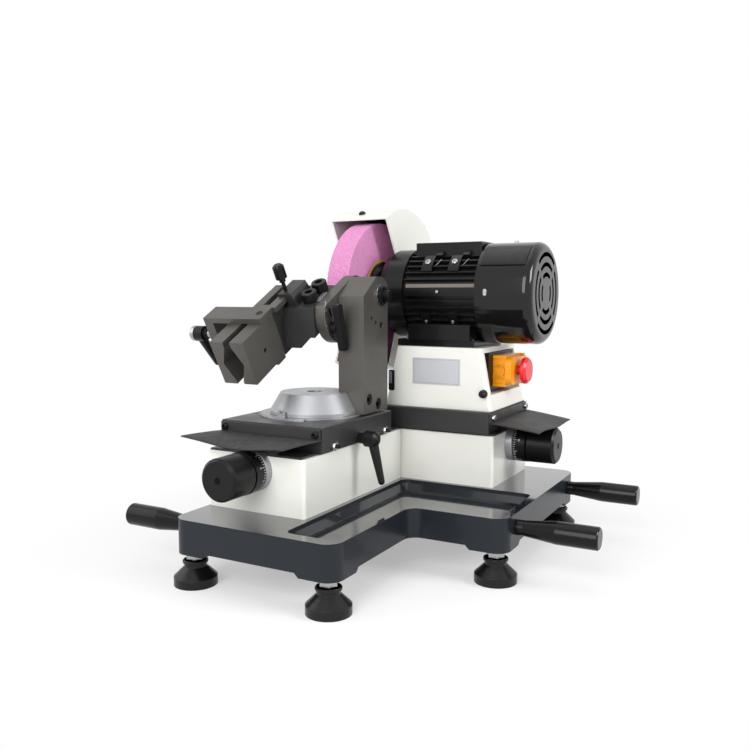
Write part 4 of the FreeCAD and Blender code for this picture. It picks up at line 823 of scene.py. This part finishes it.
class SHARPENER_OT_slide_fixings(bpy.types.Operator):
    """Add the strip screws and the gib screws of both slides"""

    bl_idname = "sharpener.slide_fixings"
    bl_label = "Slide Fixings"

    STRIP_FINISH = {"left": "Black Plastic", "right": "Bright Steel"}
    STRIP_INSET = 7.5 * MM
    STRIP_ROLL, NUT_ROLL = 0.4, 0.2
    # Gib screws: their height on the slide and the shares of its length.
    GIB_RISE, GIB_SHARES = 6 * MM, (0.14, 0.88)
    # Height and socket or bore; the gib screw's radius comes first.
    STRIP_SCREW, NUT, GIB_SCREW = mm(4.0, 2.3), mm(4.5, 3.0), mm(3.0, 9.0, 1.5)

    def execute(self, context):
        sizes = context.scene.sharpener_sizes
        for side, (out, across) in SIDES.items():
            low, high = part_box(f"{side}_end_strip")
            reach = across * ((high - low).dot(across) / 2 - self.STRIP_INSET)
            face = face_of(f"{side}_end_strip", out)
            screws = [(socket_head, facing(spot, out, self.STRIP_ROLL), sizes.strip_screw,
                       *self.STRIP_SCREW) for spot in (face - reach, face + reach)]
            add_piece(f"{side}_strip_screws", self.STRIP_FINISH[side], f"{side}_slide",
                      "blackened_steel", *screws)
        low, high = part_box("left_slide")
        spots = [Vector((high.x, low.y + share * (high.y - low.y), low.z + self.GIB_RISE))
                 for share in self.GIB_SHARES]
        add_piece("gib_nuts", "Bright Steel", "left_slide", "zinc_steel",
                  *[(hexagon_nut, facing(spot, RIGHT, self.NUT_ROLL), sizes.gib_nut, *self.NUT)
                    for spot in spots])
        add_piece("gib_screws", "Black Plastic", "left_slide", "blackened_steel",
                  *[(socket_head, facing(spot, RIGHT), *self.GIB_SCREW) for spot in spots])
        return {"FINISHED"}


class SHARPENER_OT_swivel_marks(bpy.types.Operator):
    """Graduate the swivel ring and stand its index plate in front"""

    bl_idname = "sharpener.swivel_marks"
    bl_label = "Swivel Scale"

    # The plate's arc and the ticks on it, in degrees round the swivel.
    PLATE_ARC, PLATE_STEPS = (172, 292), 40
    TICKS, LONG_EVERY = range(176, 290, 2), 10
    PLATE_OVERLAP, PLATE_FOOT = mm(0.2, 0.02)
    SHORT_TICK, LONG_TICK, TICK_MARGIN, TICK_SINK = mm(3.0, 5.0, 0.6, 0.05)
    TICK_SECTION = mm(0.35, 0.1)
    INDEX_BEARING, INDEX_GAP = -101, 2.4 * MM
    # Blocks of the index plate: width, depth, height and edge; the foot lies ahead.
    INDEX_PLATE, INDEX_FOOT = mm(15, 2.0, 10.5, 0.5), mm(15, 6.0, 1.2, 0.4)
    INDEX_FOOT_AHEAD = -2.5 * MM
    ARROW, ARROW_DEPTHS = (mm(-1.9, 8.4), mm(1.9, 8.4), mm(0, 5.2)), mm(-0.9, -1.08)

    def execute(self, context):
        low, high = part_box("swivel_scale_ring")
        centre = face_of("swivel_scale_ring", UP)
        foot = Matrix.Translation(face_of("swivel_scale_ring", DOWN))
        radius = (high.x - low.x) / 2
        edge = radius + context.scene.sharpener_sizes.scale_margin
        add_piece("swivel_scale_plate", "Satin Aluminium", "left_slide", "satin_aluminium",
                  (sector, foot, radius - self.PLATE_OVERLAP, edge, self.PLATE_FOOT, high.z - low.z,
                   *self.PLATE_ARC, self.PLATE_STEPS))
        ticks = []
        for degree in self.TICKS:
            length = self.SHORT_TICK if degree % self.LONG_EVERY else self.LONG_TICK
            reach = edge - (length + self.TICK_MARGIN) / 2
            matrix = outward(centre, degree, reach, -self.TICK_SINK)
            ticks.append((block, matrix, length - self.TICK_MARGIN, *self.TICK_SECTION))
        add_piece("swivel_ring_marks", "Black Print And Shade", "left_slide", "black_paint", *ticks,
                  smooth=False)
        low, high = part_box("swivel_cone")
        reach = (high.x - low.x) / 2 + self.INDEX_GAP
        index = outward(centre, self.INDEX_BEARING, reach) @ Matrix.Rotation(math.pi / 2, 4, "Z")
        ahead = index @ Matrix.Translation((0, self.INDEX_FOOT_AHEAD, 0))
        add_piece("swivel_index_plate", "Satin Aluminium", "left_slide", "satin_aluminium",
                  (block, index, *self.INDEX_PLATE), (block, ahead, *self.INDEX_FOOT))
        arrow = [[(x, depth, z) for x, z in self.ARROW] for depth in self.ARROW_DEPTHS]
        add_piece("swivel_index_arrow", "Black Print And Shade", "left_slide", "black_paint",
                  (loft, index, arrow), smooth=False)
        return {"FINISHED"}


class SHARPENER_OT_head_fixings(bpy.types.Operator):
    """Add the arm's small screws, the yoke screw and the holder's scale plate"""

    bl_idname = "sharpener.head_fixings"
    bl_label = "Head Fixings"

    # Places on the head are (u, v) pairs in millimetres; screws are radius, height and socket.
    ARM_SCREWS, ARM_SCREW = ((-89, 23), (-82.5, -30.5)), mm(2.4, 0.2, 1.0)
    # The rim strip is partly wear and partly a painted highlight of the arm's edge.
    RIM, RIM_ARC, RIM_STEPS = mm(45.0, 46.4, -0.4, 0.15), (128, 236), 28
    # The slot is painted shade: a thin dark plate on the arm's face.
    SLOT_PLACE, SLOT = (-80.5, 15), mm(4.5, 15, 0.12, 2.2)
    YOKE_INSET, YOKE_PLACE, YOKE_SCREW = 12, (-137.5, 46.6), mm(5.5, 0.6, 3.0)
    STEP_INSET, STEP_PLACE, STEP = 9, (-148, -35.5), mm(18, 4.5, 22, 0.6)
    SCALE_INSET, SCALE_PLACE, SCALE_PLATE = 4.8, (-61, 31.0), mm(7, 26, 0.8, 0.2)
    MARK_INSET, MARK_RISE, MARK_PITCH = 3.3, 0.78, 2.2
    SHORT_MARK, LONG_MARK, LONG_EVERY = mm(2.0, 0.35, 0.08), mm(3.2, 0.35, 0.08), 5

    def execute(self, context):
        face = end_of("swing_arm", 1)
        lug = joint_place("holder_turn")
        lug.x = at(face, 0, 0).x
        add_piece("arm_screws", "Bright Steel", "arm", "zinc_steel",
                  *[(socket_head, facing(on_head(face, *place), RIGHT), *self.ARM_SCREW)
                    for place in self.ARM_SCREWS])
        # A thin bright strip round the arm's end: partly wear, partly a painted highlight of its
        # edge.
        add_piece("arm_rim_highlight", "Bright Steel", "arm", "zinc_steel",
                  (sector, facing(lug, RIGHT, TILT), *self.RIM, *self.RIM_ARC, self.RIM_STEPS))
        # Painted shade: a thin dark plate where the arm has a slot.
        slot = facing(on_head(face, *self.SLOT_PLACE), RIGHT, TILT)
        add_piece("arm_slot_shade", "Black Print And Shade", "arm", "black_paint",
                  (rounded_plate, slot, *self.SLOT), smooth=False)
        yoke = on_head(end_of("jaw_yoke", 1) - self.YOKE_INSET, *self.YOKE_PLACE)
        add_piece("yoke_screw", "Black Plastic", "clamp", "black_plastic",
                  (socket_head, facing(yoke, HEAD_UP), *self.YOKE_SCREW))
        jaw = on_head(end_of("fixed_jaw", 1) - self.STEP_INSET, *self.STEP_PLACE)
        add_piece("jaw_step", "Blackened Steel", "clamp", "blackened_steel",
                  (block, facing(jaw, HEAD_AHEAD), *self.STEP))
        side = end_of("swing_arm", 0)
        u, v = self.SCALE_PLACE
        plate = facing(on_head(side - self.SCALE_INSET, u, v), HEAD_UP)
        add_piece("holder_scale_plate", "Satin Aluminium", "holder", "satin_aluminium",
                  (block, plate, *self.SCALE_PLATE))
        marks = []
        for index in range(-self.LONG_EVERY, self.LONG_EVERY + 1):
            spot = on_head(side - self.MARK_INSET, u + index * self.MARK_PITCH, v + self.MARK_RISE)
            mark = self.SHORT_MARK if index % self.LONG_EVERY else self.LONG_MARK
            marks.append((block, facing(spot, HEAD_UP), *mark))
        add_piece("holder_scale_marks", "Black Print And Shade", "holder", "black_paint", *marks,
                  smooth=False)
        return {"FINISHED"}


class SHARPENER_OT_lever_caps(bpy.types.Operator):
    """Cap the clamp levers"""

    bl_idname = "sharpener.lever_caps"
    bl_label = "Lever Caps"

    CLAMP_INSET, BUTTON_LENGTH, EDGE = mm(3.0, 1.0, 0.2)
    # A dome rises by a share of its radius and stops a little short of its middle.
    DOME_RISE, DOME_STEPS, DOME_END = 0.28, 6, 6.5
    CAP_SIDES = 28

    def execute(self, context):
        sizes = context.scene.sharpener_sizes
        clamp = joint_place("clamp_handle_turn")
        clamp.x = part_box("clamp_lever")[0].x + self.CLAMP_INSET
        lock = joint_place("left_lock_turn")
        lock.x += sizes.lock_cap_reach
        add_piece("clamp_lever_cap", "Bright Steel", "clamp_handle", "zinc_steel",
                  (self.cap, facing(clamp, LEFT), sizes.clamp_cap, sizes.clamp_cap_length))
        add_piece("left_lock_lever_cap", "Black Plastic", "left_lock", "zinc_steel",
                  (self.cap, facing(lock, RIGHT), sizes.lock_cap, self.BUTTON_LENGTH))
        return {"FINISHED"}

    def cap(self, mesh, matrix, radius, length):
        """A domed cap that reaches back over the hub by a length."""
        profile = [(radius, -length), (radius, self.EDGE)]
        for step in range(1, self.DOME_STEPS + 1):
            angle = math.pi / 2 * step / self.DOME_END
            rise = radius * self.DOME_RISE * math.sin(angle)
            profile.append((radius * math.cos(angle), self.EDGE + rise))
        lathe(mesh, matrix, profile, self.CAP_SIDES)


class SHARPENER_OT_motor_fixings(bpy.types.Operator):
    """Add the motor's screw pads, cover screws and foot bolts"""

    bl_idname = "sharpener.motor_fixings"
    bl_label = "Motor Fixings"

    # Curved pads: x from and to, inner and outer radius, and the angles from and to above level.
    PAD_PLACES = (35, 82)
    PADS = ((-9, 9, 64, 77, 28, 54), (10, 21, 64, 80, 51, 60), (-7.5, 7.5, 64, 76.5, -48, -25))
    RIBS = ((0, 124, 64, 76.4, -3.5, 7), (130, 203, 79, 83.4, 32, 63))
    LEDGE = (2, 124.5, 66, 75.6, 7.2, 11.6)
    # Places on the motor: x, angle above level and radius; screws are radius, height and socket.
    PAD_SCREWS = (((0, 41, 77), mm(5.0, 2.6, 2.2)), ((-1, -36.5, 76.5), mm(3.2, 2.0, 1.4)))
    WIRE_ENDS, WIRE_RADIUS = ((15, 36, 76.5), (22, 46, 76.5)), 0.5 * MM
    RIB_PLACE, RIB_SCREW = (58.6, 2, 76.4), mm(2.6, 1.8, 1.2)
    CLIP_PLACE, CLIP = (142, 1.2, 81.3), mm(5.5, 11, 0.8, 2.7)
    NIPPLE_PLACE, NIPPLE = (165, 90, 81.3), (mm(3.6, 0), mm(3.6, 1.2), mm(2.0, 3.2))
    # Foot bolts: their places along x, their inset from the plate's edges, and their parts.
    BOLT_PLACES, BOLT_INSET = (2, 107), 7 * MM
    WASHER, WASHER_TOP = (mm(8.5, 0), mm(8.5, 1.4)), 1.4 * MM
    BOLT_NUT, BOLT_END = mm(6.0, 5.5, 3.5), (mm(3.5, 0), mm(3.5, 11), mm(2.8, 11.8))
    NIPPLE_SIDES, WASHER_SIDES, BOLT_SIDES = 20, 24, 20

    def execute(self, context):
        axis = joint_place("rotor_spin")
        start = Vector((at(0, 0, 0).x, axis.y, axis.z))
        spindle = facing(start, RIGHT)
        local = spindle.inverted().to_3x3()
        front, rise = [math.degrees(math.atan2(way.y, way.x))
                       for way in (local @ FRONT, local @ UP)]
        sense = 1 if (rise - front) % 360 < 180 else -1

        def arc(x0, x1, inner, outer, low, high):
            return (sector, spindle, *mm(inner, outer, x0, x1),
                    front + sense * low, front + sense * high)

        def radial(x, angle, radius):
            """A place on the motor and the way that it faces."""
            turn = math.radians(angle)
            out = Vector((0, -math.cos(turn), math.sin(turn)))
            return start + (RIGHT * x + out * radius) * MM, out
        bosses = [arc(x + x0, x + x1, *rest)
                  for x in self.PAD_PLACES for x0, x1, *rest in self.PADS]
        screws = []
        for x in self.PAD_PLACES:
            screws += [(socket_head, facing(*radial(x + dx, *rest)), *screw)
                       for (dx, *rest), screw in self.PAD_SCREWS]
            wire = [radial(x + dx, *rest)[0] for dx, *rest in self.WIRE_ENDS]
            screws.append((rod, *wire, self.WIRE_RADIUS))
        screws += [(socket_head, facing(*radial(*self.RIB_PLACE)), *self.RIB_SCREW),
                   (rounded_plate, facing(*radial(*self.CLIP_PLACE)), *self.CLIP),
                   (lathe, facing(*radial(*self.NIPPLE_PLACE)), self.NIPPLE, self.NIPPLE_SIDES)]
        low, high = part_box("motor_plate")
        bolts = []
        for x in self.BOLT_PLACES:
            for y in (low.y + self.BOLT_INSET, high.y - self.BOLT_INSET):
                seat = Matrix.Translation((at(x, 0, 0).x, y, high.z))
                top = seat @ Matrix.Translation((0, 0, self.WASHER_TOP))
                bolts += [(lathe, seat, self.WASHER, self.WASHER_SIDES),
                          (hexagon_nut, top, *self.BOLT_NUT),
                          (lathe, top, self.BOLT_END, self.BOLT_SIDES)]
        add_piece("motor_bosses", "Black Enamel", "right_slide", "black_paint",
                  *bosses, *[arc(*rib) for rib in self.RIBS])
        add_piece("motor_ledge", "Bare Casting", "right_slide", "black_paint", arc(*self.LEDGE))
        add_piece("motor_screws", "Bright Steel", "right_slide", "zinc_steel", *screws)
        add_piece("motor_foot_bolts", "Ground Steel", "right_slide", "zinc_steel", *bolts)
        return {"FINISHED"}


class SHARPENER_OT_switch_details(bpy.types.Operator):
    """Add the ribs of the switch housing and the plug at the stand's left edge"""

    bl_idname = "sharpener.switch_details"
    bl_label = "Switch Details"

    RIB_SINK, RIB_MIDDLE, RIB_LENGTH = 0.3 * MM, 11, 22 * MM
    # Ribs: height of the middle and width; then a bow of small blocks round the buttons.
    RIBS = ((22.5, 4.5), (9.5, 3.0), (-9.5, 3.0), (-22.5, 4.5))
    RIB_HEIGHT, RIB_EDGE = mm(2.6, 0.6)
    BOW_MIDDLE, BOW_RADIUS, BOW_STEPS, BOW_BLOCK = 10.5, 8.5, 8, mm(3.6, 3.6, 2.6, 0.5)
    # Places on the stand: x, z and how far they stand proud.
    PLUG_PLACE, PLUG = (-22, 256.5, -0.5), mm(11, 34, 1.3, 2.5)
    FACE_PLACE, FACE = (-24, 261, 0.7), mm(6, 20, 0.8, 0.3)

    def execute(self, context):
        low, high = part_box("switch_housing")
        side = facing(Vector((low.x, low.y + self.RIB_SINK, (low.z + high.z) / 2)), FRONT)
        local = side.inverted().to_3x3()

        def place(along, above):
            return side @ Matrix.Translation(local @ (RIGHT * along + UP * above) * MM)
        ribs = [(block, place(self.RIB_MIDDLE, above), self.RIB_LENGTH, width * MM,
                 self.RIB_HEIGHT, self.RIB_EDGE) for above, width in self.RIBS]
        for step in range(self.BOW_STEPS + 1):
            angle = math.radians(-90 + 180 * step / self.BOW_STEPS)
            matrix = place(self.BOW_MIDDLE + self.BOW_RADIUS * math.cos(angle),
                           self.BOW_RADIUS * math.sin(angle))
            ribs.append((block, matrix, *self.BOW_BLOCK))
        add_piece("switch_ribs", "Yellow Plastic", "right_slide", "yellow_plastic", *ribs)
        add_piece("stand_plug", "Black Plastic", "right_slide", "black_plastic",
                  (rounded_plate, facing(on_stand(*self.PLUG_PLACE), FRONT), *self.PLUG))
        add_piece("stand_plug_face", "Ground Steel", "right_slide", "ground_steel",
                  (block, facing(on_stand(*self.FACE_PLACE), FRONT), *self.FACE))
        return {"FINISHED"}


class SHARPENER_OT_label(bpy.types.Operator):
    """Stick the bare label plate on the stand"""

    bl_idname = "sharpener.label"
    bl_label = "Label Plate"

    PLACE = (59, 274.5, 0.02)
    THICKNESS, CORNER = mm(0.6, 1.5)
    # A printed line inside the plate's edge.
    LINE_INSET, LINE_WIDTH, LINE_LEVEL, LINE_HEIGHT = mm(5, 0.35, 0.55, 0.08)

    def execute(self, context):
        sizes = context.scene.sharpener_sizes
        width, height = sizes.label_width, sizes.label_height
        matrix = (Matrix.Translation(on_stand(*self.PLACE))
                  @ Matrix.Rotation(math.radians(90), 4, "X"))
        add_piece("stand_label_plate", "Label Plate", "right_slide", "satin_aluminium",
                  (rounded_plate, matrix, width, height, self.THICKNESS, self.CORNER))
        width -= self.LINE_INSET
        height -= self.LINE_INSET
        lines = []
        for sign in (1, -1):
            for x, y, across, along in ((0, sign * height / 2, width, self.LINE_WIDTH),
                                        (sign * width / 2, 0, self.LINE_WIDTH, height)):
                place = matrix @ Matrix.Translation((x, y, self.LINE_LEVEL))
                lines.append((block, place, across, along, self.LINE_HEIGHT))
        add_piece("stand_label_border", "Ground Steel", "right_slide", "ground_steel", *lines,
                  smooth=False)
        return {"FINISHED"}


class SHARPENER_OT_wheel_trim(bpy.types.Operator):
    """Add the paper blotters beside the wheel, a dark sheet of painted shade inside the guard, and
    the guard's screw
    """

    bl_idname = "sharpener.wheel_trim"
    bl_label = "Wheel Trim"

    BLOTTER_HOLE, BLOTTER_THICKNESS, BLOTTER_SINK = mm(50, 0.5, 0.1)
    BLOTTER_SIDES, SCREW_SIDES = 64, 24
    # A thin dark sheet inside the guard's drum paints the shade there.
    LINING_GAP, LINING_THICKNESS = mm(0.3, 0.2)
    LINING_START, LINING_ARC, LINING_STEPS = -110, 228, 48
    # The guard's screw, from its right side, its middle and its top.
    SCREW_INSET, SCREW_AHEAD, SCREW_DOWN = mm(60, 50, 9.5)
    SCREW_OUT = Vector((0, -50, 132.5)).normalized()
    SCREW = (mm(6, 0), mm(6, 1.5), mm(5, 4), mm(2.5, 5.4))

    def execute(self, context):
        sizes = context.scene.sharpener_sizes
        outer = sizes.blotter_radius
        section = ((self.BLOTTER_HOLE, 0.0), (outer, 0.0), (outer, self.BLOTTER_THICKNESS),
                   (self.BLOTTER_HOLE, self.BLOTTER_THICKNESS))
        outlines = [ring(radius, height, self.BLOTTER_SIDES) for radius, height in section]
        blotters = []
        for end, out in zip(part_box("grinding_wheel"), (LEFT, RIGHT)):
            spot = joint_place("rotor_spin")
            spot.x = end.x - out.x * self.BLOTTER_SINK
            blotters.append((loft, facing(spot, out), outlines, True))
        add_piece("wheel_blotters", "Blotter Paper", "rotor", "yellow_plastic", *blotters)
        # The dark sheet of painted shade follows the inside of the guard's drum.
        low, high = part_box("wheel_guard")
        inset = sizes.guard_wall + self.LINING_GAP
        reach = sizes.guard_radius - inset
        y, z = high.y - sizes.guard_radius, high.z - sizes.guard_radius
        rows = []
        for step in range(self.LINING_STEPS + 1):
            angle = math.radians(self.LINING_START + self.LINING_ARC * step / self.LINING_STEPS)
            spot = (y + reach * math.cos(angle), z + reach * math.sin(angle))
            rows.append([(x, *spot) for x in (low.x + inset, high.x - inset)])
        lining = add_piece("guard_painted_shade", "Guard Painted Shade", "right_slide", "black_paint",
                           (sheet, rows))
        thicken(lining, self.LINING_THICKNESS)
        spot = Vector((high.x - self.SCREW_INSET, y - self.SCREW_AHEAD, high.z - self.SCREW_DOWN))
        add_piece("guard_screw", "Black Plastic", "right_slide", "black_plastic",
                  (lathe, facing(spot, self.SCREW_OUT), self.SCREW, self.SCREW_SIDES))
        return {"FINISHED"}


class SHARPENER_OT_stage(bpy.types.Operator):
    """Set the pale floor, the soft lights and the camera"""

    bl_idname = "sharpener.stage"
    bl_label = "Stage"

    WHITE = (1.0, 1.0, 1.0, 1.0)
    FLOOR_COLOUR, FLOOR_ROUGHNESS, FLOOR_SPECULAR = (0.92, 0.92, 0.92), 0.9, 0.1
    FLOOR_HALF, FLOOR_LEVEL = 9, -0.0002
    # The floor whitens from one distance to another, between two shares.
    FLOOR_FADE = (0.3, 0.62, 0.4, 1.0)
    ROOM_STRENGTH, BACKDROP_STRENGTH = 0.45, 1.0
    # Lamps: place, size and power; all look at one point.
    LOOK_AT = Vector((0.0, 0.0, 0.25))
    LAMPS = {
        "Key Softbox": ((2.2, 0.15, 1.3), 0.8, 30.0),
        "Front Softbox": ((0.2, -2.2, 1.2), 1.5, 42.0),
        "Fill Softbox": ((-1.9, -1.0, 1.2), 1.6, 10.0),
        "Top Softbox": ((-0.1, 0.1, 2.4), 1.8, 8.0),
    }
    SENSOR, LENS, CLIP_END = 36.0, 38.477, 50.0
    CAMERA_PLACE, CAMERA_DIP, CAMERA_TURN = (592.14, -882.56, 400.49), 5.829, 28.711

    def execute(self, context):
        scene = context.scene
        scene.view_settings.view_transform = "Standard"
        self.floor(scene)
        self.world(scene)
        for name, (place, size, power) in self.LAMPS.items():
            lamp = bpy.data.lights.new(name, "AREA")
            lamp.shape = "SQUARE"
            lamp.size = size
            lamp.energy = power
            holder = bpy.data.objects.new(name, lamp)
            holder.location = place
            look = self.LOOK_AT - Vector(place)
            holder.rotation_euler = look.to_track_quat("-Z", "Y").to_euler()
            scene.collection.objects.link(holder)
        lens = bpy.data.cameras.new("Camera")
        lens.sensor_width = self.SENSOR
        lens.lens = self.LENS
        lens.clip_end = self.CLIP_END
        camera = bpy.data.objects.new("Camera", lens)
        camera.location = at(*self.CAMERA_PLACE)
        camera.rotation_euler = (math.radians(90 - self.CAMERA_DIP), 0.0,
                                 math.radians(self.CAMERA_TURN))
        scene.collection.objects.link(camera)
        scene.camera = camera
        return {"FINISHED"}

    @staticmethod
    def seen(tree):
        """A mask of the rays that show the background itself."""
        path = add_node(tree, "LightPath").outputs
        direct = math_node(tree, "MAXIMUM", path["Is Camera Ray"], path["Is Glossy Ray"])
        return math_node(tree, "MAXIMUM", direct, path["Is Transmission Ray"])

    def floor(self, scene):
        mesh = bmesh.new()
        half = self.FLOOR_HALF
        mesh.faces.new([mesh.verts.new((x, y, self.FLOOR_LEVEL)) for x, y in (
            (-half, -half), (half, -half), (half, half), (-half, half))])
        data = bpy.data.meshes.new("Floor")
        mesh.to_mesh(data)
        mesh.free()
        floor = bpy.data.objects.new("Floor", data)
        scene.collection.objects.link(floor)
        finish = Finish("Pale Floor", self.FLOOR_COLOUR, self.FLOOR_ROUGHNESS,
                        specular=self.FLOOR_SPECULAR)
        tree = finish.tree
        glow = add_node(tree, "Emission", Color=self.WHITE, Strength=1.0)
        distance = math_node(tree, "LENGTH", object_place(tree), kind="VectorMath")
        far = remap(tree, distance, *self.FLOOR_FADE)
        self.mix(tree, math_node(tree, "MULTIPLY", far, self.seen(tree)),
                 finish.shader.outputs["BSDF"], glow.outputs["Emission"], "Material Output")
        data.materials.append(finish.material)

    def world(self, scene):
        world = bpy.data.worlds.new("Studio")
        scene.world = world
        world.use_nodes = True
        tree = world.node_tree
        room = tree.nodes["Background"]
        feed(tree, room, {"Color": self.WHITE, "Strength": self.ROOM_STRENGTH})
        backdrop = add_node(tree, "Background", Color=self.WHITE, Strength=self.BACKDROP_STRENGTH)
        self.mix(tree, self.seen(tree), room.outputs["Background"], backdrop.outputs["Background"],
                 "World Output")

    @staticmethod
    def mix(tree, mask, first, second, output):
        """Shows the second shader where a mask is high, and else the first."""
        mix = add_node(tree, "MixShader")
        feed(tree, mix, {0: mask, 1: first, 2: second})
        feed(tree, tree.nodes[output], {"Surface": mix.outputs["Shader"]})


class SHARPENER_PT_panel(bpy.types.Panel):
    """Lists the steps that dress the machine"""

    bl_idname = "SHARPENER_PT_panel"
    bl_label = "Drill Bit Sharpener"
    bl_space_type = "VIEW_3D"
    bl_region_type = "UI"
    bl_category = "Sharpener"

    def draw(self, context):
        layout = self.layout
        for operator in OPERATORS:
            layout.operator(operator.bl_idname)
        for group in (context.scene.sharpener_sizes, context.scene.sharpener_colours):
            column = layout.column()
            for name in group.__annotations__:
                column.prop(group, name)


OPERATORS = (SHARPENER_OT_finishes, SHARPENER_OT_flaps, SHARPENER_OT_dials,
             SHARPENER_OT_feet_and_sockets, SHARPENER_OT_slide_fixings, SHARPENER_OT_swivel_marks,
             SHARPENER_OT_head_fixings, SHARPENER_OT_lever_caps, SHARPENER_OT_motor_fixings,
             SHARPENER_OT_switch_details, SHARPENER_OT_label, SHARPENER_OT_wheel_trim,
             SHARPENER_OT_stage)
CLASSES = (SharpenerColours, SharpenerSizes, *OPERATORS, SHARPENER_PT_panel)


def register():
    for item in CLASSES:
        bpy.utils.register_class(item)
    bpy.types.Scene.sharpener_colours = PointerProperty(type=SharpenerColours)
    bpy.types.Scene.sharpener_sizes = PointerProperty(type=SharpenerSizes)


def unregister():
    del bpy.types.Scene.sharpener_sizes
    del bpy.types.Scene.sharpener_colours
    for item in reversed(CLASSES):
        bpy.utils.unregister_class(item)


def main():
    register()
    bpy.ops.sharpener.finishes()
    bpy.ops.sharpener.flaps()
    bpy.ops.sharpener.dials()
    bpy.ops.sharpener.feet_and_sockets()
    bpy.ops.sharpener.slide_fixings()
    bpy.ops.sharpener.swivel_marks()
    bpy.ops.sharpener.head_fixings()
    bpy.ops.sharpener.lever_caps()
    bpy.ops.sharpener.motor_fixings()
    bpy.ops.sharpener.switch_details()
    bpy.ops.sharpener.label()
    bpy.ops.sharpener.wheel_trim()
    bpy.ops.sharpener.stage()


if __name__ == "__main__":
    main()
